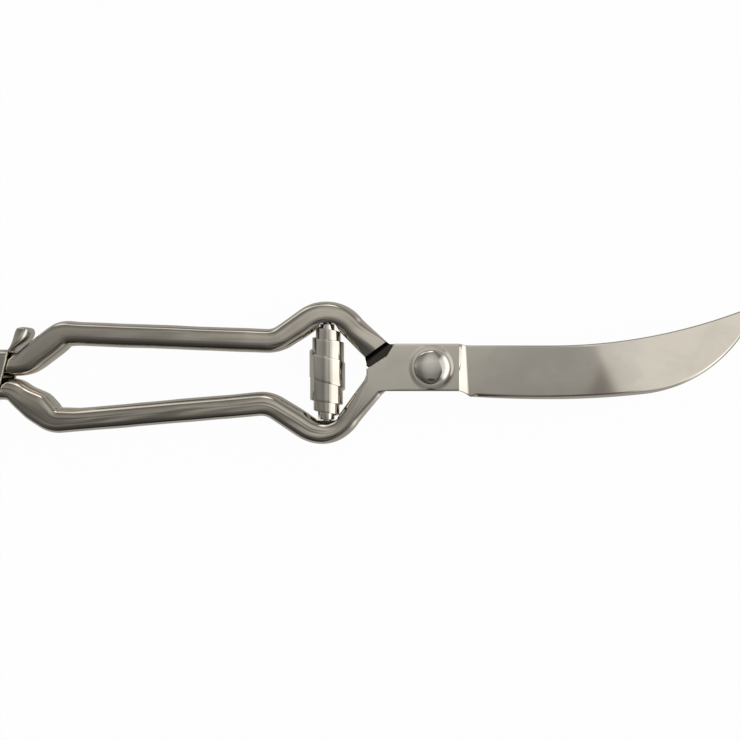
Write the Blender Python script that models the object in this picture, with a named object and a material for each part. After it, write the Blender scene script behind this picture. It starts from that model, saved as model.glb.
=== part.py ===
"""Poultry shears: two forged steel halves on a pivot screw, a volute spring between
the handles and a sprung stirrup latch on the upper tail that grips the lower one.

The shears lie flat and closed.  X runs from the handle tails to the blade tip, Y runs
from the lower handle to the upper handle, and Z runs up from the closed end of the cap
nut.  The pivot screw stands on the Z axis.  Sizes are in millimetres and become metres
when a mesh is made.  Heights inside a half are counted from the lap plane, where the
two pivot plates meet.
"""

import math

import bmesh
import bpy
import numpy as np

MM = 0.001

# ---- shared fits -------------------------------------------------------------------
GAP = 0.3                 # clearance between touching pieces

# ---- forged halves -----------------------------------------------------------------
BAR_DEPTH = 8.0           # handle bar, front face to back face
BAR_ROUND = 2.0           # rounded edges of the bar
PLATE_WIDTH = 15.0        # pivot plate, edge to edge
PLATE_HEEL = 8.7          # pivot to the end of the plate on the blade side
PLATE_ROUND = 0.5
STRIP_RUN = 2.7           # concave run from the plate down to the blade
TAIL_JOIN = 132.0         # pivot to the place where the handles bend into the tails
TAIL_WIDTH = 7.1
TAIL_CROWN = 0.8          # how much thinner each face of the tail's round end is

# ---- blades ------------------------------------------------------------------------
BLADE_STOCK = 2.2         # thickness at the heel
BLADE_TIP_STOCK = 1.3     # thickness near the tip
BEVEL_WIDTH = 1.5
EDGE_LAND = 0.3           # thickness left at the cutting edge
SPINE_HEIGHT = 7.0        # upper edge above the pivot line at the heel
SPINE_STRAIGHT = 38.0     # pivot to the start of the upper curve
SPINE_RADIUS = 174.0
BELLY_DEPTH = 10.1        # lower edge below the pivot line at its deepest
BELLY_LOW = 38.0          # pivot to the deepest point
HEEL_RADIUS = 400.0       # lower edge from the heel to the deepest point
BELLY_RADIUS = 272.0      # lower edge from the deepest point forward
BELLY_RUN = 30.0          # length of that shallow curve
TIP_RADIUS = 44.0         # lower edge up to the tip
TIP_BLUNT = 1.0           # width left at the tip
BACK_INSET = 0.5          # how far the rear blade hides inside the front one
NOTCH_PLACE = 20.0        # pivot to the bone notch of the rear blade
NOTCH_RADIUS = 2.6

# ---- pivot -------------------------------------------------------------------------
SHANK_DIAMETER = 6.0
HEAD_DIAMETER = 11.2
HEAD_HEIGHT = 2.4
HEAD_RIM = 0.6
WASHER_DIAMETER = 12.0
WASHER_THICKNESS = 0.8
NUT_FLATS = 10.0
NUT_HEIGHT = 4.0
NUT_FLOOR = 1.2

# ---- volute spring and its pegs ----------------------------------------------------
SPRING_PLACE = 33.0       # pivot to the spring axis
SPRING_TOP = 13.8         # spring ends above and below the pivot line
SPRING_BOTTOM = -16.6
SPRING_TURNS = 5.2
SPRING_STRIP = 0.8        # strip thickness
SPRING_RADIUS = 5.3       # middle of the strip at the widest turn
SPRING_STEP = 1.1         # how much each turn is smaller than the one outside it
STRIP_MIDDLE = 8.3        # strip width at the widest turn
STRIP_END = 4.6           # strip width at the ends
PEG_LENGTH = 4.5
PEG_SHANK = 2.6
PEG_DEPTH = 2.5

# ---- latch -------------------------------------------------------------------------
PIN_SETBACK = 10.6        # root of the tails to the latch pin
PIN_DIAMETER = 3.0
PIN_HEAD = 5.2
PIN_HEAD_HEIGHT = 0.9
LATCH_SHEET = 1.0
LATCH_EYE = 4.4           # radius of the cheek around the pin
CHEEK_TOE = 4.6           # radius of the cheek's lower end, over the lower tail
LATCH_SETBACK = 1.0       # root of the tails to the front edge of the latch
BEND_RADIUS = 1.7
TAB_HEIGHT = 7.8
TAB_WIDTH = 8.0

# ---- worked out from the sizes above -----------------------------------------------
HALF_DEPTH = BAR_DEPTH / 2
LAP_FACE = GAP / 2
LAP_HEIGHT = NUT_HEIGHT + GAP + WASHER_THICKNESS + GAP + HALF_DEPTH
PLATE_HALF = PLATE_WIDTH / 2
PIN_PLACE = TAIL_JOIN + PIN_SETBACK
TAIL_END = PIN_PLACE + TAIL_WIDTH / 2
LATCH_FRONT = TAIL_JOIN + LATCH_SETBACK
PEG_DIAMETER = 2 * (SPRING_RADIUS - SPRING_STEP * (SPRING_TURNS - 1) / 2 - SPRING_STRIP / 2 - GAP)

# Corners of the handle centre lines, tail to pivot, each with the radius of its bend.
UPPER_LINE = [
    (-PIN_PLACE, 0.8, 0.0),
    (-TAIL_JOIN + 1.9, 0.8, 8.0),
    (-TAIL_JOIN + 15.0, 11.0, 6.0),
    (-49.1, 8.4, 9.0),
    (-31.0, 21.4, 10.5),
    (-16.9, 1.6, 0.0),
]
LOWER_LINE = [
    (-PIN_PLACE, -6.8, 0.0),
    (-TAIL_JOIN - 0.8, -6.8, 6.0),
    (-TAIL_JOIN + 12.0, -17.2, 6.0),
    (-51.7, -11.3, 9.0),
    (-31.2, -24.5, 10.5),
    (-16.9, -2.4, 0.0),
]
# Distance from the centre line to the inner and the outer side of the bar at places
# along X: the bar swells at the tail bend and again where it rises to the crest.
UPPER_SIDES = [
    (-TAIL_JOIN, TAIL_WIDTH / 2, TAIL_WIDTH / 2 + 0.2),
    (-TAIL_JOIN + 5.0, 4.7, 4.2),
    (-TAIL_JOIN + 12.0, 4.8, 4.3),
    (-TAIL_JOIN + 20.0, 4.0, 3.9),
    (-50.0, 3.95, 3.9),
    (-42.0, 4.5, 3.9),
    (-25.0, 4.2, 4.1),
    (-17.0, 4.2, 4.0),
]
LOWER_SIDES = [
    (-TAIL_JOIN - 3.0, TAIL_WIDTH / 2, TAIL_WIDTH / 2),
    (-TAIL_JOIN + 2.0, 4.1, 4.3),
    (-TAIL_JOIN + 6.5, 5.8, 4.8),
    (-TAIL_JOIN + 12.0, 4.6, 4.0),
    (-TAIL_JOIN + 20.0, 3.7, 4.0),
    (-50.0, 3.9, 4.0),
    (-42.0, 4.2, 4.1),
    (-32.0, 3.5, 3.9),
    (-25.0, 3.6, 3.3),
]
# Where the full-depth arm ends and where the foot below it meets the lap, each a line
# from the inner to the outer side of the half, and the cut inner corner of the plate.
UPPER_SHOULDER = [((-21.0, 3.3), (-14.2, 8.2)), ((-20.5, 1.2), (-13.0, PLATE_HALF))]
LOWER_SHOULDER = [((-21.2, -4.0), (-15.6, -8.6)), ((-20.5, -2.2), (-14.4, -PLATE_HALF))]
CORNER_CUT = [(-20.5, 0.5), (-14.3, -3.6), (-11.9, -PLATE_HALF)]   # the lower half mirrors it
UPPER_TAIL = UPPER_LINE[0][1]
LOWER_TAIL = LOWER_LINE[0][1]
LATCH_TOP = UPPER_TAIL + TAIL_WIDTH / 2 + GAP + LATCH_SHEET


# ---- small helpers -----------------------------------------------------------------
def clear_scene():
    for old in list(bpy.data.objects):
        bpy.data.objects.remove(old)


def steel(name, colour, roughness):
    """A bare metal material."""
    made = bpy.data.materials.new(name)
    made.use_nodes = True
    shader = made.node_tree.nodes["Principled BSDF"]
    shader.inputs["Base Color"].default_value = (*colour, 1.0)
    shader.inputs["Roughness"].default_value = roughness
    shader.inputs["Metallic"].default_value = 1.0
    return made


def add_object(name, points, faces, material, origin=(0.0, 0.0, 0.0)):
    """Closed mesh from points in millimetres, with the object's origin at `origin`."""
    mesh = bpy.data.meshes.new(name)
    shifted = (np.asarray(points, float) - np.asarray(origin, float)) * MM
    mesh.from_pydata(shifted.tolist(), [], faces)
    work = bmesh.new()
    work.from_mesh(mesh)
    bmesh.ops.recalc_face_normals(work, faces=work.faces)
    work.to_mesh(mesh)
    work.free()
    mesh.shade_smooth()
    mesh.set_sharp_from_angle(angle=math.radians(35))
    made = bpy.data.objects.new(name, mesh)
    made.location = [value * MM for value in origin]
    bpy.context.scene.collection.objects.link(made)
    if material:
        mesh.materials.append(material)
    return made


def loft(rings):
    """Faces of a closed solid through equal rings of points, with flat end caps."""
    count, around = len(rings), len(rings[0])
    faces = []
    for k in range(count - 1):
        for j in range(around):
            following = (j + 1) % around
            faces.append((
                k * around + j,
                k * around + following,
                (k + 1) * around + following,
                (k + 1) * around + j,
            ))
    faces.append(tuple(range(around)))
    faces.append(tuple(range((count - 1) * around, count * around)))
    return np.concatenate(rings), faces


def turned(profile, segments):
    """Solid turned about Z from (radius, height) points that start and end on the axis."""
    angles = np.arange(segments) * 2 * math.pi / segments
    points = [(0.0, 0.0, profile[0][1])]
    for radius, height in profile[1:-1]:
        points += [(radius * math.cos(a), radius * math.sin(a), height) for a in angles]
    points.append((0.0, 0.0, profile[-1][1]))
    faces = []
    for j in range(segments):
        following = (j + 1) % segments
        faces.append((0, 1 + j, 1 + following))
        for k in range(len(profile) - 3):
            low = 1 + k * segments
            high = low + segments
            faces.append((low + j, high + j, high + following, low + following))
        last = 1 + (len(profile) - 3) * segments
        faces.append((last + j, len(points) - 1, last + following))
    return np.array(points), faces


def cutter(name, points, faces, target, operation="DIFFERENCE"):
    """A hidden tool shape and the Boolean that applies it to the target."""
    tool = add_object(name, points, faces, None)
    tool.hide_render = True
    tool.display_type = "WIRE"
    cut = target.modifiers.new(name, "BOOLEAN")
    cut.operation = operation
    cut.solver = "EXACT"
    cut.object = tool
    return tool


def along_y(points, x, z, up=1.0):
    """Turns an upright shape so that its axis points to +Y or -Y through (x, z)."""
    return np.stack([
        x + points[:, 0],
        up * points[:, 2],
        z + points[:, 1],
    ], axis=1)


def bent_line(corners, arc_step=12.0):
    """Points of a line with rounded corners: each corner becomes an arc of its radius."""
    made = [np.array(corners[0][:2], float)]
    for before, corner, after in zip(corners, corners[1:], corners[2:]):
        at = np.array(corner[:2], float)
        coming = at - np.array(before[:2], float)
        leaving = np.array(after[:2], float) - at
        coming /= np.linalg.norm(coming)
        leaving /= np.linalg.norm(leaving)
        turn = math.atan2(
            coming[0] * leaving[1] - coming[1] * leaving[0], float(coming @ leaving)
        )
        tangent = corner[2] * math.tan(abs(turn) / 2)
        start = at - coming * tangent
        side = math.copysign(1.0, turn)
        centre = start + side * corner[2] * np.array([-coming[1], coming[0]])
        steps = max(2, round(math.degrees(abs(turn)) / arc_step))
        for k in range(steps + 1):
            angle = turn * k / steps
            spoke = start - centre
            made.append(centre + np.array([
                spoke[0] * math.cos(angle) - spoke[1] * math.sin(angle),
                spoke[0] * math.sin(angle) + spoke[1] * math.cos(angle),
            ]))
    made.append(np.array(corners[-1][:2], float))
    return np.array(made)


# ---- forged halves -----------------------------------------------------------------
def section(inner, outer, low, high, near_round, far_round, bevel=0.0, steps=2):
    """Rounded rectangle between two edge points, from height `low` to height `high`.

    The edges of the near (lap) side and of the far side have their own radii.  With a
    bevel the far corner of the outer edge is a flat slope down to a thin cutting edge.
    """
    inner = np.asarray(inner, float)
    outer = np.asarray(outer, float)
    width = np.linalg.norm(outer - inner)
    across = (outer - inner) / width
    t = np.linspace(0, math.pi / 2, steps + 1)
    rise, fall = np.sin(t), np.cos(t)
    near_round = min(near_round, 0.45 * width, 0.45 * (high - low))
    far_round = min(far_round, 0.45 * width, 0.45 * (high - low))
    far_x, far_z, slope_a, slope_z = far_round, far_round, 1 - rise, 1 - fall
    if bevel:
        far_x = min(bevel, 0.6 * width)
        far_z = high - low - EDGE_LAND
        slope_a = 1 - t / (math.pi / 2)
        slope_z = t / (math.pi / 2)
        near_out = 0.1
    else:
        near_out = near_round
    a = np.concatenate([
        near_round * (1 - rise),
        far_round * (1 - fall),
        width - far_x * slope_a,
        width - near_out * (1 - fall),
    ])
    z = np.concatenate([
        low + near_round * (1 - fall),
        high - far_round * (1 - rise),
        high - far_z * slope_z,
        low + near_out * (1 - rise),
    ])
    flat = inner + a[:, None] * across
    return np.column_stack([flat, z])


def blade_edges(inset, notch, count=17):
    """Upper and lower edge points of a blade from heel to tip, as equal lists.

    The upper edge is straight and then an arc.  The lower edge is a long shallow curve
    that tightens to the tip.
    """
    lead = math.asin(BELLY_RUN / BELLY_RADIUS)
    turn_x = BELLY_LOW + BELLY_RUN
    turn_y = -BELLY_DEPTH + BELLY_RADIUS * (1 - math.cos(lead))

    def upper(x):
        run = max(0.0, x - SPINE_STRAIGHT)
        return SPINE_HEIGHT + SPINE_RADIUS - math.sqrt(SPINE_RADIUS ** 2 - run ** 2)

    def lower_at(angle):
        return (
            turn_x + TIP_RADIUS * (math.sin(angle) - math.sin(lead)),
            turn_y + TIP_RADIUS * (math.cos(lead) - math.cos(angle)),
        )

    final = lead
    while upper(lower_at(final)[0]) - lower_at(final)[1] > TIP_BLUNT:
        final += 0.002
    tip_x = lower_at(final)[0]
    heel_top = PLATE_HEEL + STRIP_RUN
    heel_low = heel_top + 1.2
    shallow = (count - 1) // 2
    tops, lows = [], []
    for k in range(count):
        if k <= shallow:
            x_low = heel_low + (turn_x - heel_low) * k / shallow
            radius = HEEL_RADIUS if x_low < BELLY_LOW else BELLY_RADIUS
            y_low = -BELLY_DEPTH + (x_low - BELLY_LOW) ** 2 / (2 * radius)
            x_top = heel_top + (turn_x - heel_top) * k / shallow
        else:
            share = (k - shallow) / (count - 1 - shallow)
            x_low, y_low = lower_at(lead + (final - lead) * share)
            x_top = turn_x + (tip_x - turn_x) * share
        tops.append([x_top, upper(x_top) - inset])
        lows.append([x_low, y_low + inset])
    if notch:
        rim = [
            (NOTCH_PLACE + NOTCH_RADIUS * math.cos(a), -NOTCH_RADIUS * math.sin(a))
            for a in np.linspace(math.pi, 0, 7)
        ]
        kept = [k for k in range(count) if abs(tops[k][0] - NOTCH_PLACE) > NOTCH_RADIUS + 0.3]
        first = sum(tops[k][0] < NOTCH_PLACE for k in kept)
        new_tops = [[x, upper(x) - inset + dip] for x, dip in rim]
        new_lows = [
            [x, -BELLY_DEPTH + (x - BELLY_LOW) ** 2 / (2 * HEEL_RADIUS) + inset] for x, _ in rim
        ]
        tops = [tops[k] for k in kept]
        lows = [lows[k] for k in kept]
        tops[first:first] = new_tops
        lows[first:first] = new_lows
    return np.array(tops), np.array(lows)


def half_rings(line, sides, shoulder, side, front):
    """Rings of one forged half from the tail to the tip, heights counted from the lap.

    `side` is +1 for the upper handle and -1 for the lower one.  The far face points
    away from the other half, so the rear half is this shape turned over in height.
    """
    rings = []
    path = bent_line(line)
    path = path[:-1]
    tail_y = path[0][1]
    radius = TAIL_WIDTH / 2
    for degrees in (18, 40, 65, 90):
        angle = math.radians(degrees)
        x = -PIN_PLACE - radius * math.cos(angle)
        reach = radius * math.sin(angle)
        depth = HALF_DEPTH - TAIL_CROWN * (1 - math.sin(angle))
        rings.append(section(
            (x, tail_y - side * reach), (x, tail_y + side * reach),
            -depth, depth, BAR_ROUND, BAR_ROUND,
        ))
    bar = path[1:]
    heading = np.gradient(bar, axis=0)
    heading /= np.linalg.norm(heading, axis=1)[:, None]
    normal = side * np.stack([-heading[:, 1], heading[:, 0]], axis=1)
    places, inward, outward = np.array(sides).T
    bar_in = bar - normal * np.interp(bar[:, 0], places, inward)[:, None]
    bar_out = bar + normal * np.interp(bar[:, 0], places, outward)[:, None]
    for inner, outer in zip(bar_in, bar_out):
        rings.append(section(inner, outer, -HALF_DEPTH, HALF_DEPTH, BAR_ROUND, BAR_ROUND))

    # Full-depth shoulder, its concave foot and the cut corner of the plate.
    (shoulder_in, shoulder_out), (foot_in, foot_out) = np.array(shoulder)
    low_steps = [-HALF_DEPTH, 0.45 * -HALF_DEPTH, LAP_FACE]
    for share, low in zip((0.0, 0.45, 1.0), low_steps):
        rings.append(section(
            shoulder_in + (foot_in - shoulder_in) * share,
            shoulder_out + (foot_out - shoulder_out) * share,
            low, HALF_DEPTH,
            BAR_ROUND * (1 - share) + 0.1, BAR_ROUND * (1 - share) + PLATE_ROUND * share,
        ))
    outer_places = np.linspace(foot_out[0] + 0.6, foot_out[0] + 4.2, len(CORNER_CUT))
    for (x, y), outer_x in zip(CORNER_CUT, outer_places):
        rings.append(section(
            (x, side * y), (outer_x, side * PLATE_HALF),
            LAP_FACE, HALF_DEPTH, 0.1, PLATE_ROUND,
        ))
    for x in np.linspace(-6.5, PLATE_HEEL, 4):
        rings.append(section(
            (x, -side * PLATE_HALF), (x, side * PLATE_HALF),
            LAP_FACE, HALF_DEPTH, 0.1, PLATE_ROUND,
        ))

    # Concave run down to the blade, then the blade itself.
    tops, lows = blade_edges(0.0 if front else BACK_INSET, notch=not front)
    blade_in, blade_out = (tops, lows) if side < 0 else (lows, tops)
    for share in (0.3, 0.65, 1.0):
        x = PLATE_HEEL + STRIP_RUN * share * 0.9
        drop = (HALF_DEPTH - BLADE_STOCK) * math.sin(share * math.pi / 2)
        rings.append(section(
            (x, -side * PLATE_HALF * (1 - 0.04 * share)),
            (x, side * PLATE_HALF * (1 - 0.04 * share)),
            LAP_FACE, HALF_DEPTH - drop, 0.1, PLATE_ROUND * (1 - 0.4 * share),
        ))
    count = len(blade_in)
    for k in range(count):
        share = (blade_out[k][0] - blade_out[0][0]) / (blade_out[-1][0] - blade_out[0][0])
        stock = BLADE_STOCK + (BLADE_TIP_STOCK - BLADE_STOCK) * share
        rings.append(section(
            blade_in[k], blade_out[k], LAP_FACE, stock, 0.1, 0.3,
            bevel=BEVEL_WIDTH,
        ))
    return rings


def forged_half(name, line, sides, shoulder, side, front, material):
    rings = half_rings(line, sides, shoulder, side, front)
    points, faces = loft(rings)
    turn_over = 1.0 if front else -1.0
    points[:, 2] = LAP_HEIGHT + turn_over * points[:, 2]
    made = add_object(name, points, faces, material)

    bore = SHANK_DIAMETER / 2 + GAP
    hole, hole_faces = turned([
        (0.0, LAP_HEIGHT - BAR_DEPTH), (bore, LAP_HEIGHT - BAR_DEPTH),
        (bore, LAP_HEIGHT + BAR_DEPTH), (0.0, LAP_HEIGHT + BAR_DEPTH),
    ], 24)
    cutter(name + "_bore", hole, hole_faces, made)

    end = SPRING_TOP if side > 0 else -SPRING_BOTTOM
    seat = PEG_DIAMETER / 2 + GAP + SPRING_STRIP + GAP + SPRING_STEP / 2
    neck = PEG_SHANK / 2 + GAP
    pocket, pocket_faces = turned([
        (0.0, end - 6.0), (seat, end - 6.0), (seat, end + GAP),
        (neck, end + GAP), (neck, end + PEG_DEPTH + 2 * GAP), (0.0, end + PEG_DEPTH + 2 * GAP),
    ], 24)
    cutter(
        name + "_seat", along_y(pocket, -SPRING_PLACE, LAP_HEIGHT, side), pocket_faces, made
    )
    return made


# ---- pivot screw, washer and cap nut -----------------------------------------------
def pivot_screw(material):
    """Domed head on a plain shank that reaches into the cap nut."""
    base = LAP_HEIGHT + HALF_DEPTH + GAP
    rim = base + HEAD_RIM
    radius = HEAD_DIAMETER / 2
    rise = HEAD_HEIGHT - HEAD_RIM
    sphere = (radius ** 2 + rise ** 2) / (2 * rise)
    spread = math.asin(radius / sphere)
    dome = [
        (sphere * math.sin(a), rim + sphere * (math.cos(a) - math.cos(spread)))
        for a in np.linspace(spread, 0, 6)
    ]
    dome[-1] = (0.0, base + HEAD_HEIGHT)
    shank = SHANK_DIAMETER / 2
    end = NUT_FLOOR + GAP
    profile = [(0.0, end), (shank, end), (shank, base), (radius - 0.15, base)] + dome
    points, faces = turned(profile, 32)
    return add_object("pivot_screw", points, faces, material)


def ring_mesh(inner, outer, low, high, segments):
    """Flat ring between two radii and two heights."""
    angles = np.arange(segments) * 2 * math.pi / segments
    rings = [
        np.array([(r * math.cos(a), r * math.sin(a), z) for a in angles])
        for r, z in ((inner, low), (outer, low), (outer, high), (inner, high))
    ]
    faces = []
    for k in range(4):
        for j in range(segments):
            following = (j + 1) % segments
            low_row, high_row = k * segments, ((k + 1) % 4) * segments
            faces.append((low_row + j, high_row + j, high_row + following, low_row + following))
    return np.concatenate(rings), faces


def pivot_washer(material):
    low = NUT_HEIGHT + GAP
    points, faces = ring_mesh(
        SHANK_DIAMETER / 2 + GAP, WASHER_DIAMETER / 2, low, low + WASHER_THICKNESS, 32
    )
    return add_object("pivot_washer", points, faces, material)


def pivot_nut(material):
    """Hexagon cap nut: closed flat end down, bore open to the washer."""
    corner = NUT_FLATS / math.sqrt(3)
    angles = [math.radians(60 * k + 30) for k in range(6)]
    rings = [
        np.array([(r * math.cos(a), r * math.sin(a), z) for a in angles])
        for r, z in (
            (corner - 0.5, 0.0), (corner, 0.4), (corner, NUT_HEIGHT - 0.3),
            (corner - 0.4, NUT_HEIGHT),
        )
    ]
    points, faces = loft(rings)
    made = add_object("pivot_nut", points, faces, material)
    bore = SHANK_DIAMETER / 2 + GAP
    hole, hole_faces = turned([
        (0.0, NUT_FLOOR), (bore, NUT_FLOOR), (bore, NUT_HEIGHT + 1.0), (0.0, NUT_HEIGHT + 1.0),
    ], 24)
    cutter("nut_bore", hole, hole_faces, made)
    return made


# ---- volute spring and pegs --------------------------------------------------------
def volute_spring(material):
    """Flat strip wound on edge: the middle turn is widest and the turns beyond it nest
    inside it towards both ends, so the spring tapers both ways along Y."""
    half_turns = SPRING_TURNS / 2
    turns = np.linspace(-half_turns, half_turns, int(SPRING_TURNS * 14) + 1)
    beyond = np.maximum(np.abs(turns) - 0.5, 0.0)
    radius = SPRING_RADIUS - SPRING_STEP * beyond
    share = beyond / (half_turns - 0.5)
    width = STRIP_MIDDLE + (STRIP_END - STRIP_MIDDLE) * share
    middle = (SPRING_TOP + SPRING_BOTTOM) / 2
    reach = (SPRING_TOP - SPRING_BOTTOM - STRIP_END) / 2
    inner_rise = 0.5 * STRIP_MIDDLE * 0.98
    climb = np.where(
        np.abs(turns) <= 0.5,
        turns * 2 * inner_rise,
        np.sign(turns) * (inner_rise + (reach - inner_rise) * share),
    )
    angle = 2 * math.pi * turns + math.radians(60)
    rings = []
    for k in range(len(turns)):
        ring = []
        for out, up in ((-1, -1), (1, -1), (1, 1), (-1, 1)):
            r = radius[k] + out * SPRING_STRIP / 2
            ring.append((
                -SPRING_PLACE + r * math.cos(angle[k]),
                middle + climb[k] + up * width[k] / 2,
                LAP_HEIGHT + r * math.sin(angle[k]),
            ))
        rings.append(np.array(ring))
    points, faces = loft(rings)
    origin = (-SPRING_PLACE, middle, LAP_HEIGHT)
    return add_object("volute_spring", points, faces, material, origin)


def spring_peg(name, end, side, material):
    """Round peg inside the last turn of the spring, with a shank pressed into the handle."""
    body = PEG_DIAMETER / 2
    shank = PEG_SHANK / 2
    profile = [
        (0.0, end - PEG_LENGTH), (body - 0.5, end - PEG_LENGTH), (body, end - PEG_LENGTH + 0.5),
        (body, end), (shank, end), (shank, end + PEG_DEPTH), (0.0, end + PEG_DEPTH),
    ]
    points, faces = turned(profile, 20)
    placed = along_y(points, -SPRING_PLACE, LAP_HEIGHT, side)
    return add_object(name, placed, faces, material)


# ---- latch -------------------------------------------------------------------------
def latch(material):
    """Stamped stirrup: two cheeks on the pin, a bridge over the upper tail and a curled
    thumb tab at the front of the bridge.  The cheeks reach down over the lower tail."""
    sheet = LATCH_SHEET / 2
    cheek = HALF_DEPTH + GAP + sheet
    top = LATCH_TOP - sheet
    toe_x = -PIN_PLACE + 2.2
    toe_y = LOWER_TAIL + 0.9

    def reach(y):
        """Rear and front edge of a cheek at height y: a round toe that widens upwards
        to the bridge, with an eye around the pin at the rear."""
        if y < toe_y:
            half = math.sqrt(max(CHEEK_TOE ** 2 - (toe_y - y) ** 2, 0.5))
            return toe_x - half, toe_x + half
        rise = (y - toe_y) / (top - toe_y)
        front = toe_x + CHEEK_TOE + (-LATCH_FRONT - toe_x - CHEEK_TOE) * rise ** 0.8
        if y < UPPER_TAIL:
            share = (y - toe_y) / (UPPER_TAIL - toe_y)
            rear = toe_x - CHEEK_TOE
            return rear + (-PIN_PLACE - LATCH_EYE - rear) * share, front
        lift = min(y - UPPER_TAIL, LATCH_EYE * 0.86)
        return -PIN_PLACE - math.sqrt(LATCH_EYE ** 2 - lift ** 2), front

    straight_top = top - BEND_RADIUS
    bottom = toe_y - CHEEK_TOE
    heights = [bottom + step for step in (0.0, 0.5, 1.5, 3.0)]
    heights += list(np.linspace(toe_y, UPPER_TAIL, 4))
    heights += [straight_top]
    path = [(y, cheek, 0.0) for y in heights]
    for angle in np.linspace(0, math.pi / 2, 5)[1:]:
        path.append((
            straight_top + BEND_RADIUS * math.sin(angle),
            cheek - BEND_RADIUS * (1 - math.cos(angle)),
            angle,
        ))
    mirrored = [(y, -z, math.pi - angle) for y, z, angle in reversed(path)]
    rings = []
    for y, z, angle in path + mirrored:
        rear, front = reach(y)
        out = np.array([0.0, math.sin(angle), math.cos(angle)]) * sheet
        middle = np.array([0.0, y, LAP_HEIGHT + z])
        rings.append(np.array([
            middle - out + (rear, 0, 0), middle + out + (rear, 0, 0),
            middle + out + (front, 0, 0), middle - out + (front, 0, 0),
        ]))
    points, faces = loft(rings)
    pin = (-PIN_PLACE, UPPER_TAIL, LAP_HEIGHT)
    made = add_object("latch", points, faces, material, pin)

    start = np.array([-LATCH_FRONT - 1.6, top])
    line = [
        (*start, 0.0),
        (start[0] + 1.9, start[1] + 0.3, 1.2),
        (start[0] + 4.4, start[1] + TAB_HEIGHT - 0.7, 1.4),
        (start[0] + 6.4, start[1] + TAB_HEIGHT, 0.0),
    ]
    middle = bent_line(line, 15.0)
    heading = np.gradient(middle, axis=0)
    heading /= np.linalg.norm(heading, axis=1)[:, None]
    normal = np.stack([-heading[:, 1], heading[:, 0]], axis=1)
    tab_rings = []
    count = len(middle)
    for k in range(count):
        wide = TAB_WIDTH / 2 * (1.0 if k < count - 1 else 0.7)
        ring = []
        for out, up in ((-1, -1), (1, -1), (1, 1), (-1, 1)):
            flat = middle[k] + normal[k] * out * sheet * 0.98
            ring.append((flat[0], flat[1], LAP_HEIGHT + up * wide))
        tab_rings.append(np.array(ring))
    tab, tab_faces = loft(tab_rings)
    cutter("latch_tab", tab, tab_faces, made, "UNION")

    bore = PIN_DIAMETER / 2 + GAP
    hole, hole_faces = turned([
        (0.0, -BAR_DEPTH), (bore, -BAR_DEPTH), (bore, BAR_DEPTH), (0.0, BAR_DEPTH),
    ], 20)
    cutter("latch_hole", hole + pin, hole_faces, made)
    return made


def latch_pin(target, material):
    """Rivet through the latch cheeks and the upper tail."""
    shank = PIN_DIAMETER / 2
    head = PIN_HEAD / 2
    face = HALF_DEPTH + GAP + LATCH_SHEET + GAP
    profile = [
        (0.0, -face - PIN_HEAD_HEIGHT), (head * 0.6, -face - PIN_HEAD_HEIGHT),
        (head, -face - 0.3), (head, -face), (shank, -face), (shank, face), (head, face),
        (head, face + 0.3), (head * 0.6, face + PIN_HEAD_HEIGHT), (0.0, face + PIN_HEAD_HEIGHT),
    ]
    points, faces = turned(profile, 20)
    place = (-PIN_PLACE, UPPER_TAIL, LAP_HEIGHT)
    made = add_object("latch_pin", points + place, faces, material, place)
    hole, hole_faces = turned([
        (0.0, -BAR_DEPTH), (shank + GAP, -BAR_DEPTH), (shank + GAP, BAR_DEPTH), (0.0, BAR_DEPTH),
    ], 20)
    cutter("tail_hole", hole + place, hole_faces, target)
    return made


def main():
    clear_scene()
    polished = steel("polished_steel", (0.56, 0.54, 0.51), 0.18)
    bright = steel("bright_screw", (0.62, 0.61, 0.58), 0.12)
    spring_steel = steel("spring_steel", (0.52, 0.50, 0.47), 0.24)
    sheet_steel = steel("latch_steel", (0.50, 0.48, 0.46), 0.28)

    forged_half("front_half", LOWER_LINE, LOWER_SIDES, LOWER_SHOULDER, -1, True, polished)
    back = forged_half("back_half", UPPER_LINE, UPPER_SIDES, UPPER_SHOULDER, 1, False, polished)
    pivot_screw(bright)
    pivot_washer(bright)
    pivot_nut(bright)
    volute_spring(spring_steel)
    spring_peg("front_spring_peg", -SPRING_BOTTOM, -1, bright)
    spring_peg("back_spring_peg", SPRING_TOP, 1, bright)
    latch(sheet_steel)
    latch_pin(back, bright)


main()
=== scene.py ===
"""Poultry shears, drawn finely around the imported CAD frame.

Two forged steel halves turn on a domed pivot screw, a volute spring stands between the
handles, and a stirrup latch rides on the upper tail.  Shape sizes below are in
millimetres in the frame's own directions: X from the tails to the tip, Y from the lower
handle to the upper one, Z up from the closed end of the cap nut.  Heights inside a half
are counted from the lap plane, where the two pivot plates meet.
"""

import math

import bmesh
import bpy
import numpy as np
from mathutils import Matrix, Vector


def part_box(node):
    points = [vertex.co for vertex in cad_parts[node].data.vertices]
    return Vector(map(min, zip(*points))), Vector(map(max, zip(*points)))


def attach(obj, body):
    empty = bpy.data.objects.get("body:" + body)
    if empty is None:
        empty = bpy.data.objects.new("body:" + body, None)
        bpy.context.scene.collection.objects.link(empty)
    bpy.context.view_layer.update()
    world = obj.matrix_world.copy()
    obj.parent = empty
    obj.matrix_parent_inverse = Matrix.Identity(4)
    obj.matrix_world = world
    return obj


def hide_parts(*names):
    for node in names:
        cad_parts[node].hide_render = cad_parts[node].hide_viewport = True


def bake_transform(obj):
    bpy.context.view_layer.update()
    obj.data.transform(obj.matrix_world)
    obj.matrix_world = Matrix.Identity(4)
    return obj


bl_info = {
    "name": "Poultry shears",
    "version": (1, 0, 0),
    "blender": (4, 5, 0),
    "location": "View3D > Sidebar > Shears",
    "description": "Forged poultry shears with a volute spring and a stirrup latch",
    "category": "Object",
}

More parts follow.
